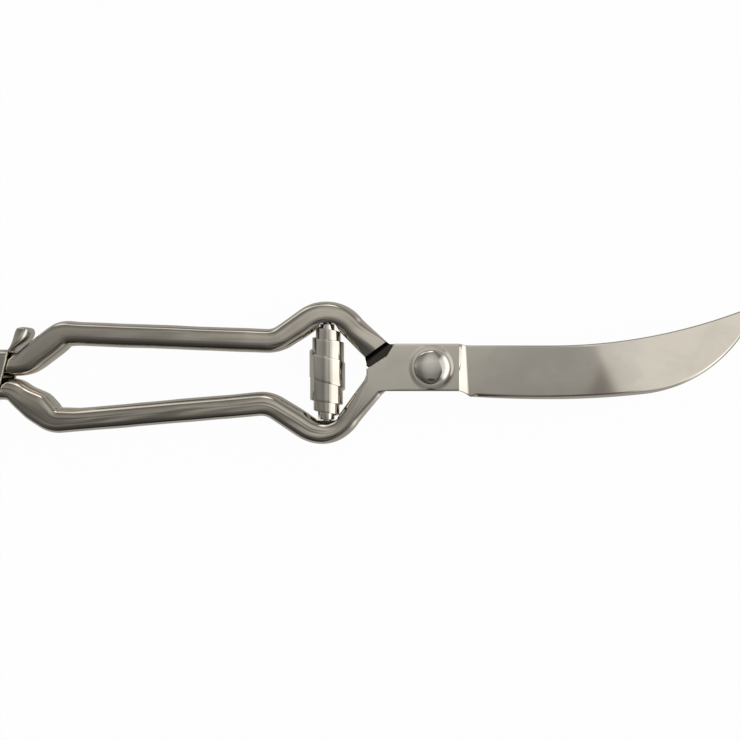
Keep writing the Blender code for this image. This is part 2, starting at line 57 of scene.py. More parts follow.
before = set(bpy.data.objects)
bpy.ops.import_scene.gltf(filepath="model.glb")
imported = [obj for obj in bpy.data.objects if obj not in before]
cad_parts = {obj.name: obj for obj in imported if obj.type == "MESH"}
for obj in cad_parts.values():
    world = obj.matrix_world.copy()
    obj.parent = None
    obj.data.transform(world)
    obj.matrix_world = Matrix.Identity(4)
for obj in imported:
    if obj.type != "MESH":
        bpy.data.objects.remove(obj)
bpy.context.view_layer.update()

MM = 0.001
GAP = 0.3

# ---- sizes that the frame has too --------------------------------------------------
BAR_DEPTH = 8.0
PLATE_WIDTH = 15.0
PLATE_HEEL = 8.7
PLATE_ROUND = 0.5
STRIP_RUN = 2.7
TAIL_JOIN = 132.0
TAIL_WIDTH = 7.1
TAIL_CROWN = 0.8
BLADE_STOCK = 2.2
BLADE_TIP_STOCK = 1.3
BEVEL_WIDTH = 1.5
SPINE_HEIGHT = 7.0
SPINE_STRAIGHT = 38.0
SPINE_RADIUS = 174.0
BELLY_DEPTH = 10.1
BELLY_LOW = 38.0
HEEL_RADIUS = 400.0
BELLY_RADIUS = 272.0
BELLY_RUN = 30.0
TIP_RADIUS = 44.0
TIP_BLUNT = 1.0
BACK_INSET = 0.5
NOTCH_PLACE = 20.0
NOTCH_RADIUS = 2.6

SHANK_DIAMETER = 6.0
HEAD_DIAMETER = 11.2
HEAD_HEIGHT = 2.4
HEAD_RIM = 0.6
WASHER_DIAMETER = 12.0
WASHER_THICKNESS = 0.8
NUT_FLATS = 10.0
NUT_HEIGHT = 4.0
NUT_FLOOR = 1.2

SPRING_PLACE = 33.0
SPRING_TOP = 13.8
SPRING_BOTTOM = -16.6
SPRING_TURNS = 5.2
SPRING_STRIP = 0.8
SPRING_RADIUS = 5.3
SPRING_STEP = 1.1
STRIP_MIDDLE = 8.3
STRIP_END = 4.6
PEG_LENGTH = 4.5
PEG_SHANK = 2.6
PEG_DEPTH = 2.5

PIN_SETBACK = 10.6
PIN_DIAMETER = 3.0
PIN_HEAD = 5.2
PIN_HEAD_HEIGHT = 0.9
LATCH_SHEET = 1.0
LATCH_EYE = 4.4
CHEEK_TOE = 4.6
LATCH_SETBACK = 1.0
BEND_RADIUS = 1.7
TAB_HEIGHT = 7.8
TAB_WIDTH = 8.0
# Thumb tab from bridge to tip: ahead of the latch's front, above the bridge's middle, half
# thickness and half width.
TAB_FORM = [
    (-0.9, -0.3, 0.45, TAB_WIDTH / 2),
    (0.1, 0.7, 0.8, TAB_WIDTH / 2),
    (1.2, 1.9, 1.4, TAB_WIDTH / 2),
    (2.2, 3.2, 2.0, TAB_WIDTH / 2),
    (2.9, 4.6, 2.4, TAB_WIDTH / 2 - 0.1),
    (3.3, 6.0, 2.5, TAB_WIDTH / 2 - 0.3),
    (3.4, 7.1, 2.1, TAB_WIDTH / 2 - 0.6),
    (3.4, TAB_HEIGHT, 1.7, TAB_WIDTH / 2 - 0.9),
]

HALF_DEPTH = BAR_DEPTH / 2
LAP_FACE = GAP / 2
LAP_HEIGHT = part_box("front_half")[1].z / MM - HALF_DEPTH
PLATE_HALF = PLATE_WIDTH / 2
PIN_PLACE = TAIL_JOIN + PIN_SETBACK
LATCH_FRONT = TAIL_JOIN + LATCH_SETBACK
PEG_DIAMETER = 2 * (SPRING_RADIUS - SPRING_STEP * (SPRING_TURNS - 1) / 2 - SPRING_STRIP / 2 - GAP)

# Corners of the handle centre lines, tail to pivot, each with the radius of its bend.
UPPER_LINE = [
    (-PIN_PLACE, 0.8, 0.0),
    (-TAIL_JOIN + 1.9, 0.8, 8.0),
    (-TAIL_JOIN + 15.0, 11.0, 6.0),
    (-49.1, 8.4, 9.0),
    (-31.0, 21.4, 10.5),
    (-16.9, 1.6, 0.0),
]
LOWER_LINE = [
    (-PIN_PLACE, -6.8, 0.0),
    (-TAIL_JOIN - 0.8, -6.8, 6.0),
    (-TAIL_JOIN + 12.0, -17.2, 6.0),
    (-51.7, -11.3, 9.0),
    (-31.2, -24.5, 10.5),
    (-16.9, -2.4, 0.0),
]
# Distance from the centre line to the inner and the outer side at places along X.
UPPER_SIDES = [
    (-TAIL_JOIN, TAIL_WIDTH / 2, TAIL_WIDTH / 2 + 0.2),
    (-TAIL_JOIN + 5.0, 4.7, 4.2),
    (-TAIL_JOIN + 12.0, 4.8, 4.3),
    (-TAIL_JOIN + 20.0, 4.0, 3.9),
    (-50.0, 3.95, 3.9),
    (-42.0, 4.5, 3.9),
    (-25.0, 4.2, 4.1),
    (-17.0, 4.2, 4.0),
]
LOWER_SIDES = [
    (-TAIL_JOIN - 3.0, TAIL_WIDTH / 2, TAIL_WIDTH / 2),
    (-TAIL_JOIN + 2.0, 4.1, 4.3),
    (-TAIL_JOIN + 6.5, 5.8, 4.8),
    (-TAIL_JOIN + 12.0, 4.6, 4.0),
    (-TAIL_JOIN + 20.0, 3.7, 4.0),
    (-50.0, 3.9, 4.0),
    (-42.0, 4.2, 4.1),
    (-32.0, 3.5, 3.9),
    (-25.0, 3.6, 3.3),
]
# Lines from the inner to the outer side: end of the full-depth arm, then of its foot.
UPPER_SHOULDER = [((-21.0, 3.3), (-14.2, 8.2)), ((-20.5, 1.2), (-13.0, PLATE_HALF))]
LOWER_SHOULDER = [((-21.2, -4.0), (-15.6, -8.6)), ((-20.5, -2.2), (-14.4, -PLATE_HALF))]
CORNER_CUT = [(-20.5, 0.5), (-14.3, -3.6), (-11.9, -PLATE_HALF)]   # the lower half mirrors it
UPPER_TAIL = UPPER_LINE[0][1]
LOWER_TAIL = LOWER_LINE[0][1]
LATCH_TOP = UPPER_TAIL + TAIL_WIDTH / 2 + GAP + LATCH_SHEET
TOE_X, TOE_Y = -PIN_PLACE + 2.2, LOWER_TAIL + 0.9   # middle of a cheek's round lower end

# ---- samples -----------------------------------------------------------------------
ARC_STEP = 3.0            # degrees between points of a bend
BAR_STEP = 0.7            # spacing of the stations along a bar
CORNER_POINTS = 8
WALL_POINTS = 3
FACE_POINTS = 30
LAP_POINTS = 14
ROUND_SEGMENTS = 96
SHEET_POINTS = 12         # across the latch's sheet, and along its bridge
SHORTEST_MIDDLE = 0.5     # a shape with a shorter middle line is measured along its side
WELD = 1e-7
CUT_SLACK = 1e-5          # how far a cut piece may pass its own box


# ---- settings ----------------------------------------------------------------------
class ShearsShape(bpy.types.PropertyGroup):
    """Sizes that give the forgings, the spring and the latch their look."""

    inner_round: bpy.props.FloatProperty(
        name="Inner round", description="Width of the rounded inner side of a handle bar",
        default=0.0031, min=0.0005, max=0.0036, subtype="DISTANCE", unit="LENGTH")
    outer_round: bpy.props.FloatProperty(
        name="Outer round", description="Width of the rounded outer side of a handle bar",
        default=0.0024, min=0.0005, max=0.0034, subtype="DISTANCE", unit="LENGTH")
    bar_crown: bpy.props.FloatProperty(
        name="Bar crown", description="How far the face of a bar falls from middle to edge",
        default=0.0002, min=0.0, max=0.001, subtype="DISTANCE", unit="LENGTH")
    forge_wave: bpy.props.FloatProperty(
        name="Forge wave", description="Unevenness that forging and hand polishing leave",
        default=0.00004, min=0.0, max=0.0002, subtype="DISTANCE", unit="LENGTH")
    boss_rise: bpy.props.FloatProperty(
        name="Boss rise", description="Soft rise of the plate around the pivot",
        default=0.00018, min=0.0, max=0.00025, subtype="DISTANCE", unit="LENGTH")
    strip_edge: bpy.props.FloatProperty(
        name="Strip edge", description="Rounding of the spring strip's edges",
        default=0.00014, min=0.00002, max=0.00035, subtype="DISTANCE", unit="LENGTH")
    sheet_edge: bpy.props.FloatProperty(
        name="Sheet edge", description="Rounding of the latch's stamped edges",
        default=0.00022, min=0.00002, max=0.00045, subtype="DISTANCE", unit="LENGTH")


class ShearsFinish(bpy.types.PropertyGroup):
    """Colours and polish of the steels."""

    forged_colour: bpy.props.FloatVectorProperty(
        name="Forged steel", description="Colour of the polished forgings",
        default=(0.65, 0.605, 0.525), size=3, min=0.0, max=1.0, subtype="COLOR")
    screw_colour: bpy.props.FloatVectorProperty(
        name="Turned steel", description="Colour of the screw, nut, washer, pegs and rivet",
        default=(0.70, 0.665, 0.600), size=3, min=0.0, max=1.0, subtype="COLOR")
    spring_colour: bpy.props.FloatVectorProperty(
        name="Spring steel", description="Colour of the volute spring",
        default=(0.63, 0.59, 0.52), size=3, min=0.0, max=1.0, subtype="COLOR")
    sheet_colour: bpy.props.FloatVectorProperty(
        name="Latch steel", description="Colour of the stamped latch",
        default=(0.56, 0.53, 0.465), size=3, min=0.0, max=1.0, subtype="COLOR")
    polish: bpy.props.FloatProperty(
        name="Polish", description="Roughness of the ground faces",
        default=0.035, min=0.01, max=0.5, subtype="FACTOR")


class ShearsStage(bpy.types.PropertyGroup):
    """Floor, surroundings and camera."""

    floor_colour: bpy.props.FloatVectorProperty(
        name="Floor", description="Colour of the floor",
        default=(0.86, 0.86, 0.85), size=3, min=0.0, max=1.0, subtype="COLOR")
    tent_strength: bpy.props.FloatProperty(
        name="Tent strength", description="Brightness of the soft light around the shears",
        default=1.0, min=0.0, max=10.0)
    camera_height: bpy.props.FloatProperty(
        name="Camera height", description="Camera above the lap plane",
        default=0.25, min=0.05, max=2.0, subtype="DISTANCE", unit="LENGTH")


# ---- mesh helpers ------------------------------------------------------------------
def run_lengths(points):
    """Length along a line up to each of its points: the sum of the steps before it."""
    return np.concatenate([[0.0], np.cumsum(np.linalg.norm(np.diff(points, axis=0), axis=1))])


def grid_faces(rows, columns, loop_rows=False):
    """Quads of a grid that is closed around its columns, and around its rows on request,
    with the (row, column) steps of their corners for the UV map."""
    last = rows if loop_rows else rows - 1
    k, j = np.meshgrid(np.arange(last), np.arange(columns), indexing="ij")
    row = np.stack([k, k, k + 1, k + 1], axis=-1).reshape(-1, 4)
    column = np.stack([j, j + 1, j + 1, j], axis=-1).reshape(-1, 4)
    return (row % rows) * columns + column % columns, row, column


def signed_volume(points, quads):
    """Volume enclosed by quads: the sum of each triangle's a . (b x c) / 6."""
    a, b, c, d = (points[quads[:, i]] for i in range(4))
    return float(np.sum(a * np.cross(b, c)) + np.sum(a * np.cross(c, d))) / 6


def shell(name, grid, marks=None, loop_rows=False, capped=True, sharp=40):
    """Closed mesh over a grid of points in millimetres.

    U is the length along the rows' middle line and V the length around each row, both in
    metres.  `marks` holds named values between 0 and 1 for every grid point.
    """
    rows, columns = grid.shape[:2]
    points = grid.reshape(-1, 3) * MM
    quads, row, column = grid_faces(rows, columns, loop_rows)
    flip = signed_volume(points - points.mean(0), quads) < 0
    along = run_lengths(grid.mean(1))
    if along[-1] < SHORTEST_MIDDLE:
        along = run_lengths(grid[:, 0])
    along = np.append(along, along[-1] + along[1]) * MM
    wrapped = np.concatenate([grid, grid[:, :1]], axis=1)
    around = np.concatenate([np.zeros((rows, 1)), np.cumsum(
        np.linalg.norm(np.diff(wrapped, axis=1), axis=2), axis=1)], axis=1) * MM
    u = along[row]
    v = around[row % rows, column]
    if flip:
        quads, u, v = quads[:, ::-1], u[:, ::-1], v[:, ::-1]
    faces = quads.tolist()
    coords = np.stack([u, v], axis=-1).reshape(-1, 2)
    if capped and not loop_rows:
        first = np.arange(columns)
        final = first + (rows - 1) * columns
        ends = (first, final[::-1]) if flip else (first[::-1], final)
        faces += [end.tolist() for end in ends]
        coords = np.concatenate([coords, (points[np.concatenate(ends)][:, 1:])])
    mesh = bpy.data.meshes.new(name)
    mesh.from_pydata(points.tolist(), [], faces)
    mesh.uv_layers.new(name="surface").data.foreach_set("uv", coords.ravel())
    for key, values in (marks or {}).items():
        mark = mesh.attributes.new(key, "FLOAT", "POINT")
        mark.data.foreach_set("value", np.broadcast_to(values, (rows, columns)).ravel())
    mesh.shade_smooth()
    mesh.set_sharp_from_angle(angle=math.radians(sharp))
    made = bpy.data.objects.new(name, mesh)
    bpy.context.scene.collection.objects.link(made)
    return made


def welded(made, sharp=40):
    """Merges the doubled points at poles and drops faces without area."""
    work = bmesh.new()
    work.from_mesh(made.data)
    bmesh.ops.remove_doubles(work, verts=work.verts, dist=WELD)
    bmesh.ops.dissolve_degenerate(work, edges=work.edges, dist=WELD)
    bmesh.ops.recalc_face_normals(work, faces=work.faces)
    work.to_mesh(made.data)
    work.free()
    made.data.shade_smooth()
    made.data.set_sharp_from_angle(angle=math.radians(sharp))
    return made


def combine(target, tools, operation="DIFFERENCE", sharp=40):
    """Applies exact Booleans of the tools to the target and removes the tools.  A cut that
    comes out larger than the target is made again with the target's own overlaps solved."""
    before = np.array([corner[:] for corner in target.bound_box])
    for solve_self in (False, True):
        target.modifiers.clear()
        for tool in tools:
            step = target.modifiers.new(tool.name, "BOOLEAN")
            step.operation = operation
            step.solver = "EXACT"
            step.use_self = solve_self
            step.object = tool
        bpy.context.view_layer.update()
        ready = target.evaluated_get(bpy.context.evaluated_depsgraph_get())
        finished = bpy.data.meshes.new_from_object(ready)
        places = np.empty(len(finished.vertices) * 3)
        finished.vertices.foreach_get("co", places)
        places = places.reshape(-1, 3)
        fits = (np.all(places >= before.min(0) - CUT_SLACK)
                and np.all(places <= before.max(0) + CUT_SLACK))
        if fits or operation != "DIFFERENCE":
            break
    else:
        raise RuntimeError(f"the cuts in {target.name} did not come out")
    target.modifiers.clear()
    target.data = finished
    for tool in tools:
        bpy.data.objects.remove(tool)
    finished.shade_smooth()
    finished.set_sharp_from_angle(angle=math.radians(sharp))
    return target


def place(made, body, slot_name, finish, *nodes):
    """Gives a piece its steel in one material slot, its body and the CAD nodes it shows.
    `slot_name` is not used.
    """
    made.data.materials.clear()
    made.data.materials.append(finish)
    if body:
        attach(made, body)
    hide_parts(*nodes)
    return made


# ---- curves ------------------------------------------------------------------------
def bent_line(corners, arc_step=ARC_STEP):
    """Points of a line whose corners are arcs: each corner is replaced by an arc of its
    radius that is tangent to the lines before and after it."""
    made = [np.array([corners[0][:2]], float)]
    for before, corner, after in zip(corners, corners[1:], corners[2:]):
        at = np.array(corner[:2], float)
        coming = at - np.array(before[:2], float)
        leaving = np.array(after[:2], float) - at
        coming /= np.linalg.norm(coming)
        leaving /= np.linalg.norm(leaving)
        turn = math.atan2(coming[0] * leaving[1] - coming[1] * leaving[0], coming @ leaving)
        start = at - coming * corner[2] * math.tan(abs(turn) / 2)
        across = math.copysign(1.0, turn) * np.array([-coming[1], coming[0]])
        centre = start + corner[2] * across
        angle = np.linspace(0, turn, max(2, round(math.degrees(abs(turn)) / arc_step)) + 1)
        spoke = start - centre
        made.append(centre + np.stack([
            spoke[0] * np.cos(angle) - spoke[1] * np.sin(angle),
            spoke[0] * np.sin(angle) + spoke[1] * np.cos(angle),
        ], axis=1))
    made.append(np.array([corners[-1][:2]], float))
    return np.concatenate(made)


def respaced(points, step):
    """The same line with points at equal distances of about `step`."""
    length = run_lengths(points)
    places = np.linspace(0, length[-1], max(2, round(length[-1] / step) + 1))
    return np.stack([np.interp(places, length, points[:, i]) for i in range(2)], axis=1)


def headings(points):
    """Unit direction along a line at each of its points."""
    run = np.gradient(points, axis=0)
    return run / np.linalg.norm(run, axis=1)[:, None]


def softened(values, reach):
    """A row of values averaged with a raised-cosine window of `reach` places each way."""
    window = np.hanning(2 * reach + 3)[1:-1]
    padded = np.pad(values, reach, mode="edge")
    return np.convolve(padded, window / window.sum(), mode="valid")


def between(keys, count):
    """Rows of key values with `count` equal steps put between neighbouring rows."""
    keys = np.asarray(keys, float)
    fine = np.linspace(0, len(keys) - 1, (len(keys) - 1) * count + 1)
    flat = keys.reshape(len(keys), -1)
    made = np.stack([np.interp(fine, np.arange(len(keys)), column) for column in flat.T], axis=1)
    return made.reshape((-1,) + keys.shape[1:])


# ---- forged halves -----------------------------------------------------------------
# Corners as (width, rise, power of the superellipse).
SMALL_CORNER = (PLATE_ROUND, PLATE_ROUND, 2.0)
HAIR_CORNER = (0.1, 0.1, 2.0)
SPINE_CORNER = (0.3, 0.3, 2.0)
BROAD_CORNER = (4.3, 1.9, 1.45)
CRISP_CORNER = (0.7, 0.5, 2.0)
ARM_FAR_IN = (1.3, 0.9, 2.0)
ARM_FAR_OUT = (1.9, 1.3, 2.0)
PLATE_START = -6.5        # where both edges of the plate are straight
RUN_SHARE = 0.93          # how far the run goes towards the blade's first edge points
BOSS_RADIUS, BOSS_RUN = 7.4, 1.7
WAVE_SINK = 3.6           # keeps the waves under the nominal surface
WAVES = ((34, 1, 0.9), (21, 2, 0.6), (58, 5, 0.2), (83, 8, 0.11), (11.5, 1, 0.3), (6.2, 1, 0.1),
         (3.7, 2, 0.05))  # length, turns around the bar, share


def stations(inner, outer, low, high, corners, crown=0.0, ground=0.0, painted_shade=0.0):
    """Stations across a half as a dictionary of arrays: the two edge points, the two faces, a
    (width, rise, power) for the corners near-inner, far-inner, far-outer and near-outer, the fall
    of the faces, and the marks for ground and for painted shade in the recess by the lap."""
    count = len(inner)
    row = (count,)
    return {
        "inner": inner, "outer": outer,
        "low": np.broadcast_to(low, row), "high": np.broadcast_to(high, row),
        "corner": np.stack([np.stack([
            np.broadcast_to(np.asarray(value, float), row) for value in corner
        ], axis=-1) for corner in corners], axis=1),
        "crown": np.broadcast_to(crown, row), "ground": np.broadcast_to(ground, row),
        "painted_shade": np.broadcast_to(painted_shade, row),
    }


def corner_fade(start, end, share):
    """Corner between two (width, rise, power) corners by a share along the stations."""
    return [first + (last - first) * share for first, last in zip(start, end)]


def blade_edges(inset, notch, count=130):
    """Upper and lower edge points of a blade from heel to tip.

    The upper edge is y = spine height up to the straight's end and then an arc of the
    spine radius.  The lower edge is a parabola of the heel radius, one of the belly
    radius, and an arc of the tip radius up to the blunt tip.  The bone notch is a half
    circle taken out of the upper edge.
    """
    lead = math.asin(BELLY_RUN / BELLY_RADIUS)
    turn_x = BELLY_LOW + BELLY_RUN
    turn_y = -BELLY_DEPTH + BELLY_RADIUS * (1 - math.cos(lead))

    def upper(x):
        run = np.maximum(0.0, x - SPINE_STRAIGHT)
        return SPINE_HEIGHT + SPINE_RADIUS - np.sqrt(SPINE_RADIUS ** 2 - run ** 2)

    angle = np.arange(lead, 1.5, 0.002)
    arc_x = turn_x + TIP_RADIUS * (np.sin(angle) - math.sin(lead))
    arc_y = turn_y + TIP_RADIUS * (math.cos(lead) - np.cos(angle))
    final = angle[np.argmax(upper(arc_x) - arc_y <= TIP_BLUNT)]
    heel_top = PLATE_HEEL + STRIP_RUN
    heel_low = heel_top + 1.2
    share = np.linspace(0, 1, count)
    if notch:
        mouth = (NOTCH_PLACE - heel_top + NOTCH_RADIUS * np.cos(
            np.linspace(0.95 * math.pi, 0.05 * math.pi, 19))) / (turn_x - heel_top)
        share = np.unique(np.concatenate([share, mouth]))
    top_x = heel_top + (turn_x - heel_top) * share
    low_x = heel_low + (turn_x - heel_low) * share
    radius = np.where(low_x < BELLY_LOW, HEEL_RADIUS, BELLY_RADIUS)
    low_y = -BELLY_DEPTH + (low_x - BELLY_LOW) ** 2 / (2 * radius)
    tip_share = np.linspace(0, 1, count // 2)[1:]
    tip_angle = lead + (final - lead) * tip_share
    tip_low_x = turn_x + TIP_RADIUS * (np.sin(tip_angle) - math.sin(lead))
    tip_low_y = turn_y + TIP_RADIUS * (math.cos(lead) - np.cos(tip_angle))
    top_x = np.concatenate([top_x, turn_x + (tip_low_x[-1] - turn_x) * tip_share])
    narrow = inset * (1 - 0.55 * np.concatenate([np.zeros(len(share)), tip_share ** 3]))
    dip = 0.0
    if notch:
        dip = np.sqrt(np.maximum(NOTCH_RADIUS ** 2 - (top_x - NOTCH_PLACE) ** 2, 0.0))
    tops = np.stack([top_x, upper(top_x) - narrow - dip], axis=1)
    lows = np.stack([np.concatenate([low_x, tip_low_x]),
                     np.concatenate([low_y, tip_low_y]) + narrow], axis=1)
    return tops, lows


def half_stations(line, sides, shoulder, side, front, shape):
    """All stations of one half from the tail to the tip, heights counted from the lap."""
    round_in = (shape.inner_round / MM, 3.3, 2.3)
    round_out = (shape.outer_round / MM, 2.9, 2.3)
    small, hair = SMALL_CORNER, HAIR_CORNER
    crown = shape.bar_crown / MM
    bar = (round_in, round_in, round_out, round_out)
    blocks = []

    # Round end of the tail: half widths follow a quarter circle.
    a = np.radians(np.linspace(6, 90, 16)[:-1])
    x = -PIN_PLACE - TAIL_WIDTH / 2 * np.cos(a)
    reach = side * TAIL_WIDTH / 2 * np.sin(a)
    depth = HALF_DEPTH - TAIL_CROWN * (1 - np.sin(a))
    tail_y = line[0][1]
    blocks.append(stations(
        np.stack([x, tail_y - reach], 1), np.stack([x, tail_y + reach], 1),
        -depth, depth, bar, crown, 1 - np.clip(np.sin(a) - 0.3, 0, 1) / 0.7))

    # Bar: edges lie to both sides of the centre line at the softened half widths.
    path = respaced(bent_line(line)[:-1], BAR_STEP)
    normal = side * np.stack([-headings(path)[:, 1], headings(path)[:, 0]], axis=1)
    places, inward, outward = np.array(sides).T
    spread_in = softened(np.interp(path[:, 0], places, inward), 3)
    spread_out = softened(np.interp(path[:, 0], places, outward), 3)
    blocks.append(stations(
        path - normal * spread_in[:, None], path + normal * spread_out[:, None],
        -HALF_DEPTH, HALF_DEPTH, bar, crown))

    # Arm down to the shoulder: a broad soft inner side next to the lap, flat far face.
    (shoulder_in, shoulder_out), (foot_in, foot_out) = np.array(shoulder)
    last_in, last_out = blocks[-1]["inner"][-1], blocks[-1]["outer"][-1]
    t = np.linspace(0, 1, 26)[1:]
    fade = t * t * (3 - 2 * t)
    end_corners = (BROAD_CORNER, ARM_FAR_IN, ARM_FAR_OUT, CRISP_CORNER)
    blocks.append(stations(
        last_in + (shoulder_in - last_in) * t[:, None],
        last_out + (shoulder_out - last_out) * t[:, None], -HALF_DEPTH, HALF_DEPTH,
        [corner_fade(first, last, fade) for first, last in zip(bar, end_corners)],
        crown * (1 - fade), fade))

    # Concave foot: depth follows a quarter ellipse from the shoulder to the lap.
    turn = np.linspace(0, math.pi / 2, 12)[1:]
    share = 1 - np.cos(turn)
    drop = np.sin(turn)
    # The last value marks where shade is painted into the recess by the lap.
    blocks.append(stations(
        shoulder_in + (foot_in - shoulder_in) * share[:, None],
        shoulder_out + (foot_out - shoulder_out) * share[:, None],
        -HALF_DEPTH + (HALF_DEPTH + LAP_FACE) * drop, HALF_DEPTH,
        [corner_fade(BROAD_CORNER, hair, drop ** 0.4), corner_fade(ARM_FAR_IN, small, share),
         corner_fade(ARM_FAR_OUT, small, share), corner_fade(CRISP_CORNER, hair, drop)],
        0.0, 1.0, np.clip(drop / 0.35, 0, 1)))

    # Plate with its inner corner cut away in a soft line.
    cut = np.array(CORNER_CUT) * (1.0, side)
    cut = respaced(bent_line([(*cut[0], 0), (*cut[1], 3.0), (*cut[2], 0)]), 0.4)
    outer_x = np.linspace(foot_out[0] + 0.6, foot_out[0] + 4.2, len(cut))
    keys = np.concatenate([
        [np.concatenate([foot_in, foot_out])],
        np.stack([cut[:, 0], cut[:, 1], outer_x, np.full(len(cut), side * PLATE_HALF)], 1),
        [[PLATE_START, -side * PLATE_HALF, PLATE_START, side * PLATE_HALF]],
    ])
    fan = np.concatenate([between(keys[:2], 3)[1:], keys[2:-1], between(keys[-2:], 12)[1:]])
    plate = (hair, small, small, hair)
    blocks.append(stations(
        fan[:, :2], fan[:, 2:], LAP_FACE, HALF_DEPTH, plate, 0.0, 1.0, 1.0))
    x = np.linspace(PLATE_START, PLATE_HEEL, 46)[1:]
    # Painted shade on the plate's lap side fades out from the pivot to 6 mm towards the blade.
    blocks.append(stations(
        np.stack([x, np.full_like(x, -side * PLATE_HALF)], 1),
        np.stack([x, np.full_like(x, side * PLATE_HALF)], 1),
        LAP_FACE, HALF_DEPTH, plate, 0.0, 1.0, np.clip((6.0 - x) / 6.0, 0, 1)))

    # Concave run from the plate down to the heel of the blade, longer at its lower end.
    tops, lows = blade_edges(0.0 if front else BACK_INSET, notch=not front)
    share = np.linspace(0, 1, 17)[1:, None]
    heel = (PLATE_HEEL, PLATE_HALF), (PLATE_HEEL, -PLATE_HALF)
    top_run, low_run = (
        np.array(start) * (1 - RUN_SHARE * share) + end * RUN_SHARE * share
        for start, end in zip(heel, (tops[0], lows[0])))
    low_run[:, 1:] = -PLATE_HALF + (lows[0, 1] + PLATE_HALF) * RUN_SHARE * share ** 1.6
    run_in, run_out = (top_run, low_run) if side < 0 else (low_run, top_run)
    share = share[:, 0]
    blocks.append(stations(
        run_in, run_out, LAP_FACE,
        HALF_DEPTH - (HALF_DEPTH - BLADE_STOCK) * np.sin(share * math.pi / 2),
        [hair, corner_fade(small, SPINE_CORNER, share),
         corner_fade(small, SPINE_CORNER, share), hair], 0.0, 1.0))

    # Blade: stock thins evenly to the tip, and the outer far corner is the ground edge.
    blade_in, blade_out = (tops, lows) if side < 0 else (lows, tops)
    span = (blade_out[:, 0] - blade_out[0, 0]) / (blade_out[-1, 0] - blade_out[0, 0])
    stock = BLADE_STOCK + (BLADE_TIP_STOCK - BLADE_STOCK) * span
    bevel_in = np.clip(span / 0.02, 0.2, 1)
    blocks.append(stations(
        blade_in, blade_out, LAP_FACE, stock,
        [hair, SPINE_CORNER,
         (BEVEL_WIDTH * 0.6 * bevel_in, BEVEL_WIDTH * 0.45 * bevel_in, 1.1), hair],
        0.0, 1.0))
    return {key: np.concatenate([made[key] for made in blocks]) for key in blocks[0]}


def half_grid(made):
    """Points around every station: a rectangle between the edge points whose corners are
    superellipse quarters, with faces that fall from their middle by the crown."""
    inner, outer = made["inner"], made["outer"]
    low, high, crown, ground, painted_shade = (
        made[key][:, None] for key in ("low", "high", "crown", "ground", "painted_shade"))
    width = np.linalg.norm(outer - inner, axis=1)[:, None]
    across = (outer - inner) / width
    depth = high - low
    wide, rise, power = (made["corner"][:, :, i] for i in range(3))
    near_in, far_in, far_out, near_out = range(4)
    wide = wide * np.minimum(1, 0.95 * width / (
        wide[:, [near_in, far_in, far_in, near_in]] + wide[:, [near_out, far_out, far_out,
                                                               near_out]]))
    rise = rise * np.minimum(1, 0.95 * depth / (
        rise[:, [near_in, near_in, near_out, near_out]] + rise[:, [far_in, far_in, far_out,
                                                                   far_out]]))
    t = np.linspace(0, math.pi / 2, CORNER_POINTS)
    less_sin = 1 - np.sin(t) ** (2 / power[..., None])
    less_cos = 1 - np.cos(t) ** (2 / power[..., None])
    wide, rise = wide[..., None], rise[..., None]
    width, depth = width[:, :1], depth[:, :1]
    a_parts = [
        wide[:, 0] * less_sin[:, 0], wide[:, 1] * less_cos[:, 1],
        width - wide[:, 2] * less_sin[:, 2], width - wide[:, 3] * less_cos[:, 3],
    ]
    z_parts = [
        low + rise[:, 0] * less_cos[:, 0], high - rise[:, 1] * less_sin[:, 1],
        high - rise[:, 2] * less_cos[:, 2], low + rise[:, 3] * less_sin[:, 3],
    ]
    bow = np.broadcast_to(np.sin(2 * t), a_parts[0].shape)
    near = np.broadcast_to(np.ones(CORNER_POINTS), a_parts[0].shape)
    a_all, z_all, mark_all, near_all = [], [], [], []
    for index, count in enumerate((WALL_POINTS, FACE_POINTS, WALL_POINTS, LAP_POINTS)):
        following = (index + 1) % 4
        s = np.linspace(0, 1, count + 2)[None, 1:-1]
        for rows, parts in ((a_all, a_parts), (z_all, z_parts)):
            rows += [parts[index], parts[index][:, -1:] + (
                parts[following][:, :1] - parts[index][:, -1:]) * s]
        mark_all += [bow, np.zeros((len(inner), count))]
        # The lap-side corners and the lap face carry the painted shade mark.
        lap_side = index in (0, 3)
        near_all += [near * lap_side, np.full((len(inner), count), index == 3, float)]
    a = np.concatenate(a_all, axis=1)
    z = np.concatenate(z_all, axis=1)
    middle = (high + low) / 2
    z = middle + (z - middle) * (1 - 2 * crown / depth * (2 * a / width - 1) ** 2)
    points = np.concatenate([inner[:, None, :] + a[..., None] * across[:, None, :],
                             z[..., None]], axis=2)
    marks = {
        "rub": np.concatenate(mark_all, axis=1) * (0.35 + 0.65 * ground),
        "ground": np.broadcast_to(ground, a.shape),
        "painted_shade": np.concatenate(near_all, axis=1) * painted_shade,
    }
    return points, marks


def outward_normals(grid):
    """Unit normals of a grid closed around its columns: cross product of the steps, turned
    away from the middle of each row."""
    down = np.gradient(grid, axis=0)
    side = np.roll(grid, -1, axis=1) - np.roll(grid, 1, axis=1)
    normal = np.cross(down, side)
    normal /= np.maximum(np.linalg.norm(normal, axis=2), 1e-9)[..., None]
    away = grid - grid.mean(1, keepdims=True)
    return normal * np.sign(np.sum(normal * away, axis=(1, 2)))[:, None, None]


def waved(grid, ground, height, seed):
    """Cuts forging unevenness into the bars: sine waves along the bar whose phase turns
    around it, sunk under the nominal surface, and gone where the steel is ground."""
    rng = np.random.default_rng(seed)
    s = run_lengths(grid.mean(1))
    theta = np.linspace(0, 2 * math.pi, grid.shape[1], endpoint=False)
    wave = np.zeros(grid.shape[:2])
    for length, turns, share in WAVES:
        phase = rng.uniform(0, 2 * math.pi)
        wave += share * np.sin(2 * math.pi * s[:, None] / length + turns * theta + phase)
    return grid + outward_normals(grid) * (
        (wave - WAVE_SINK) * height * (1 - ground))[..., None]


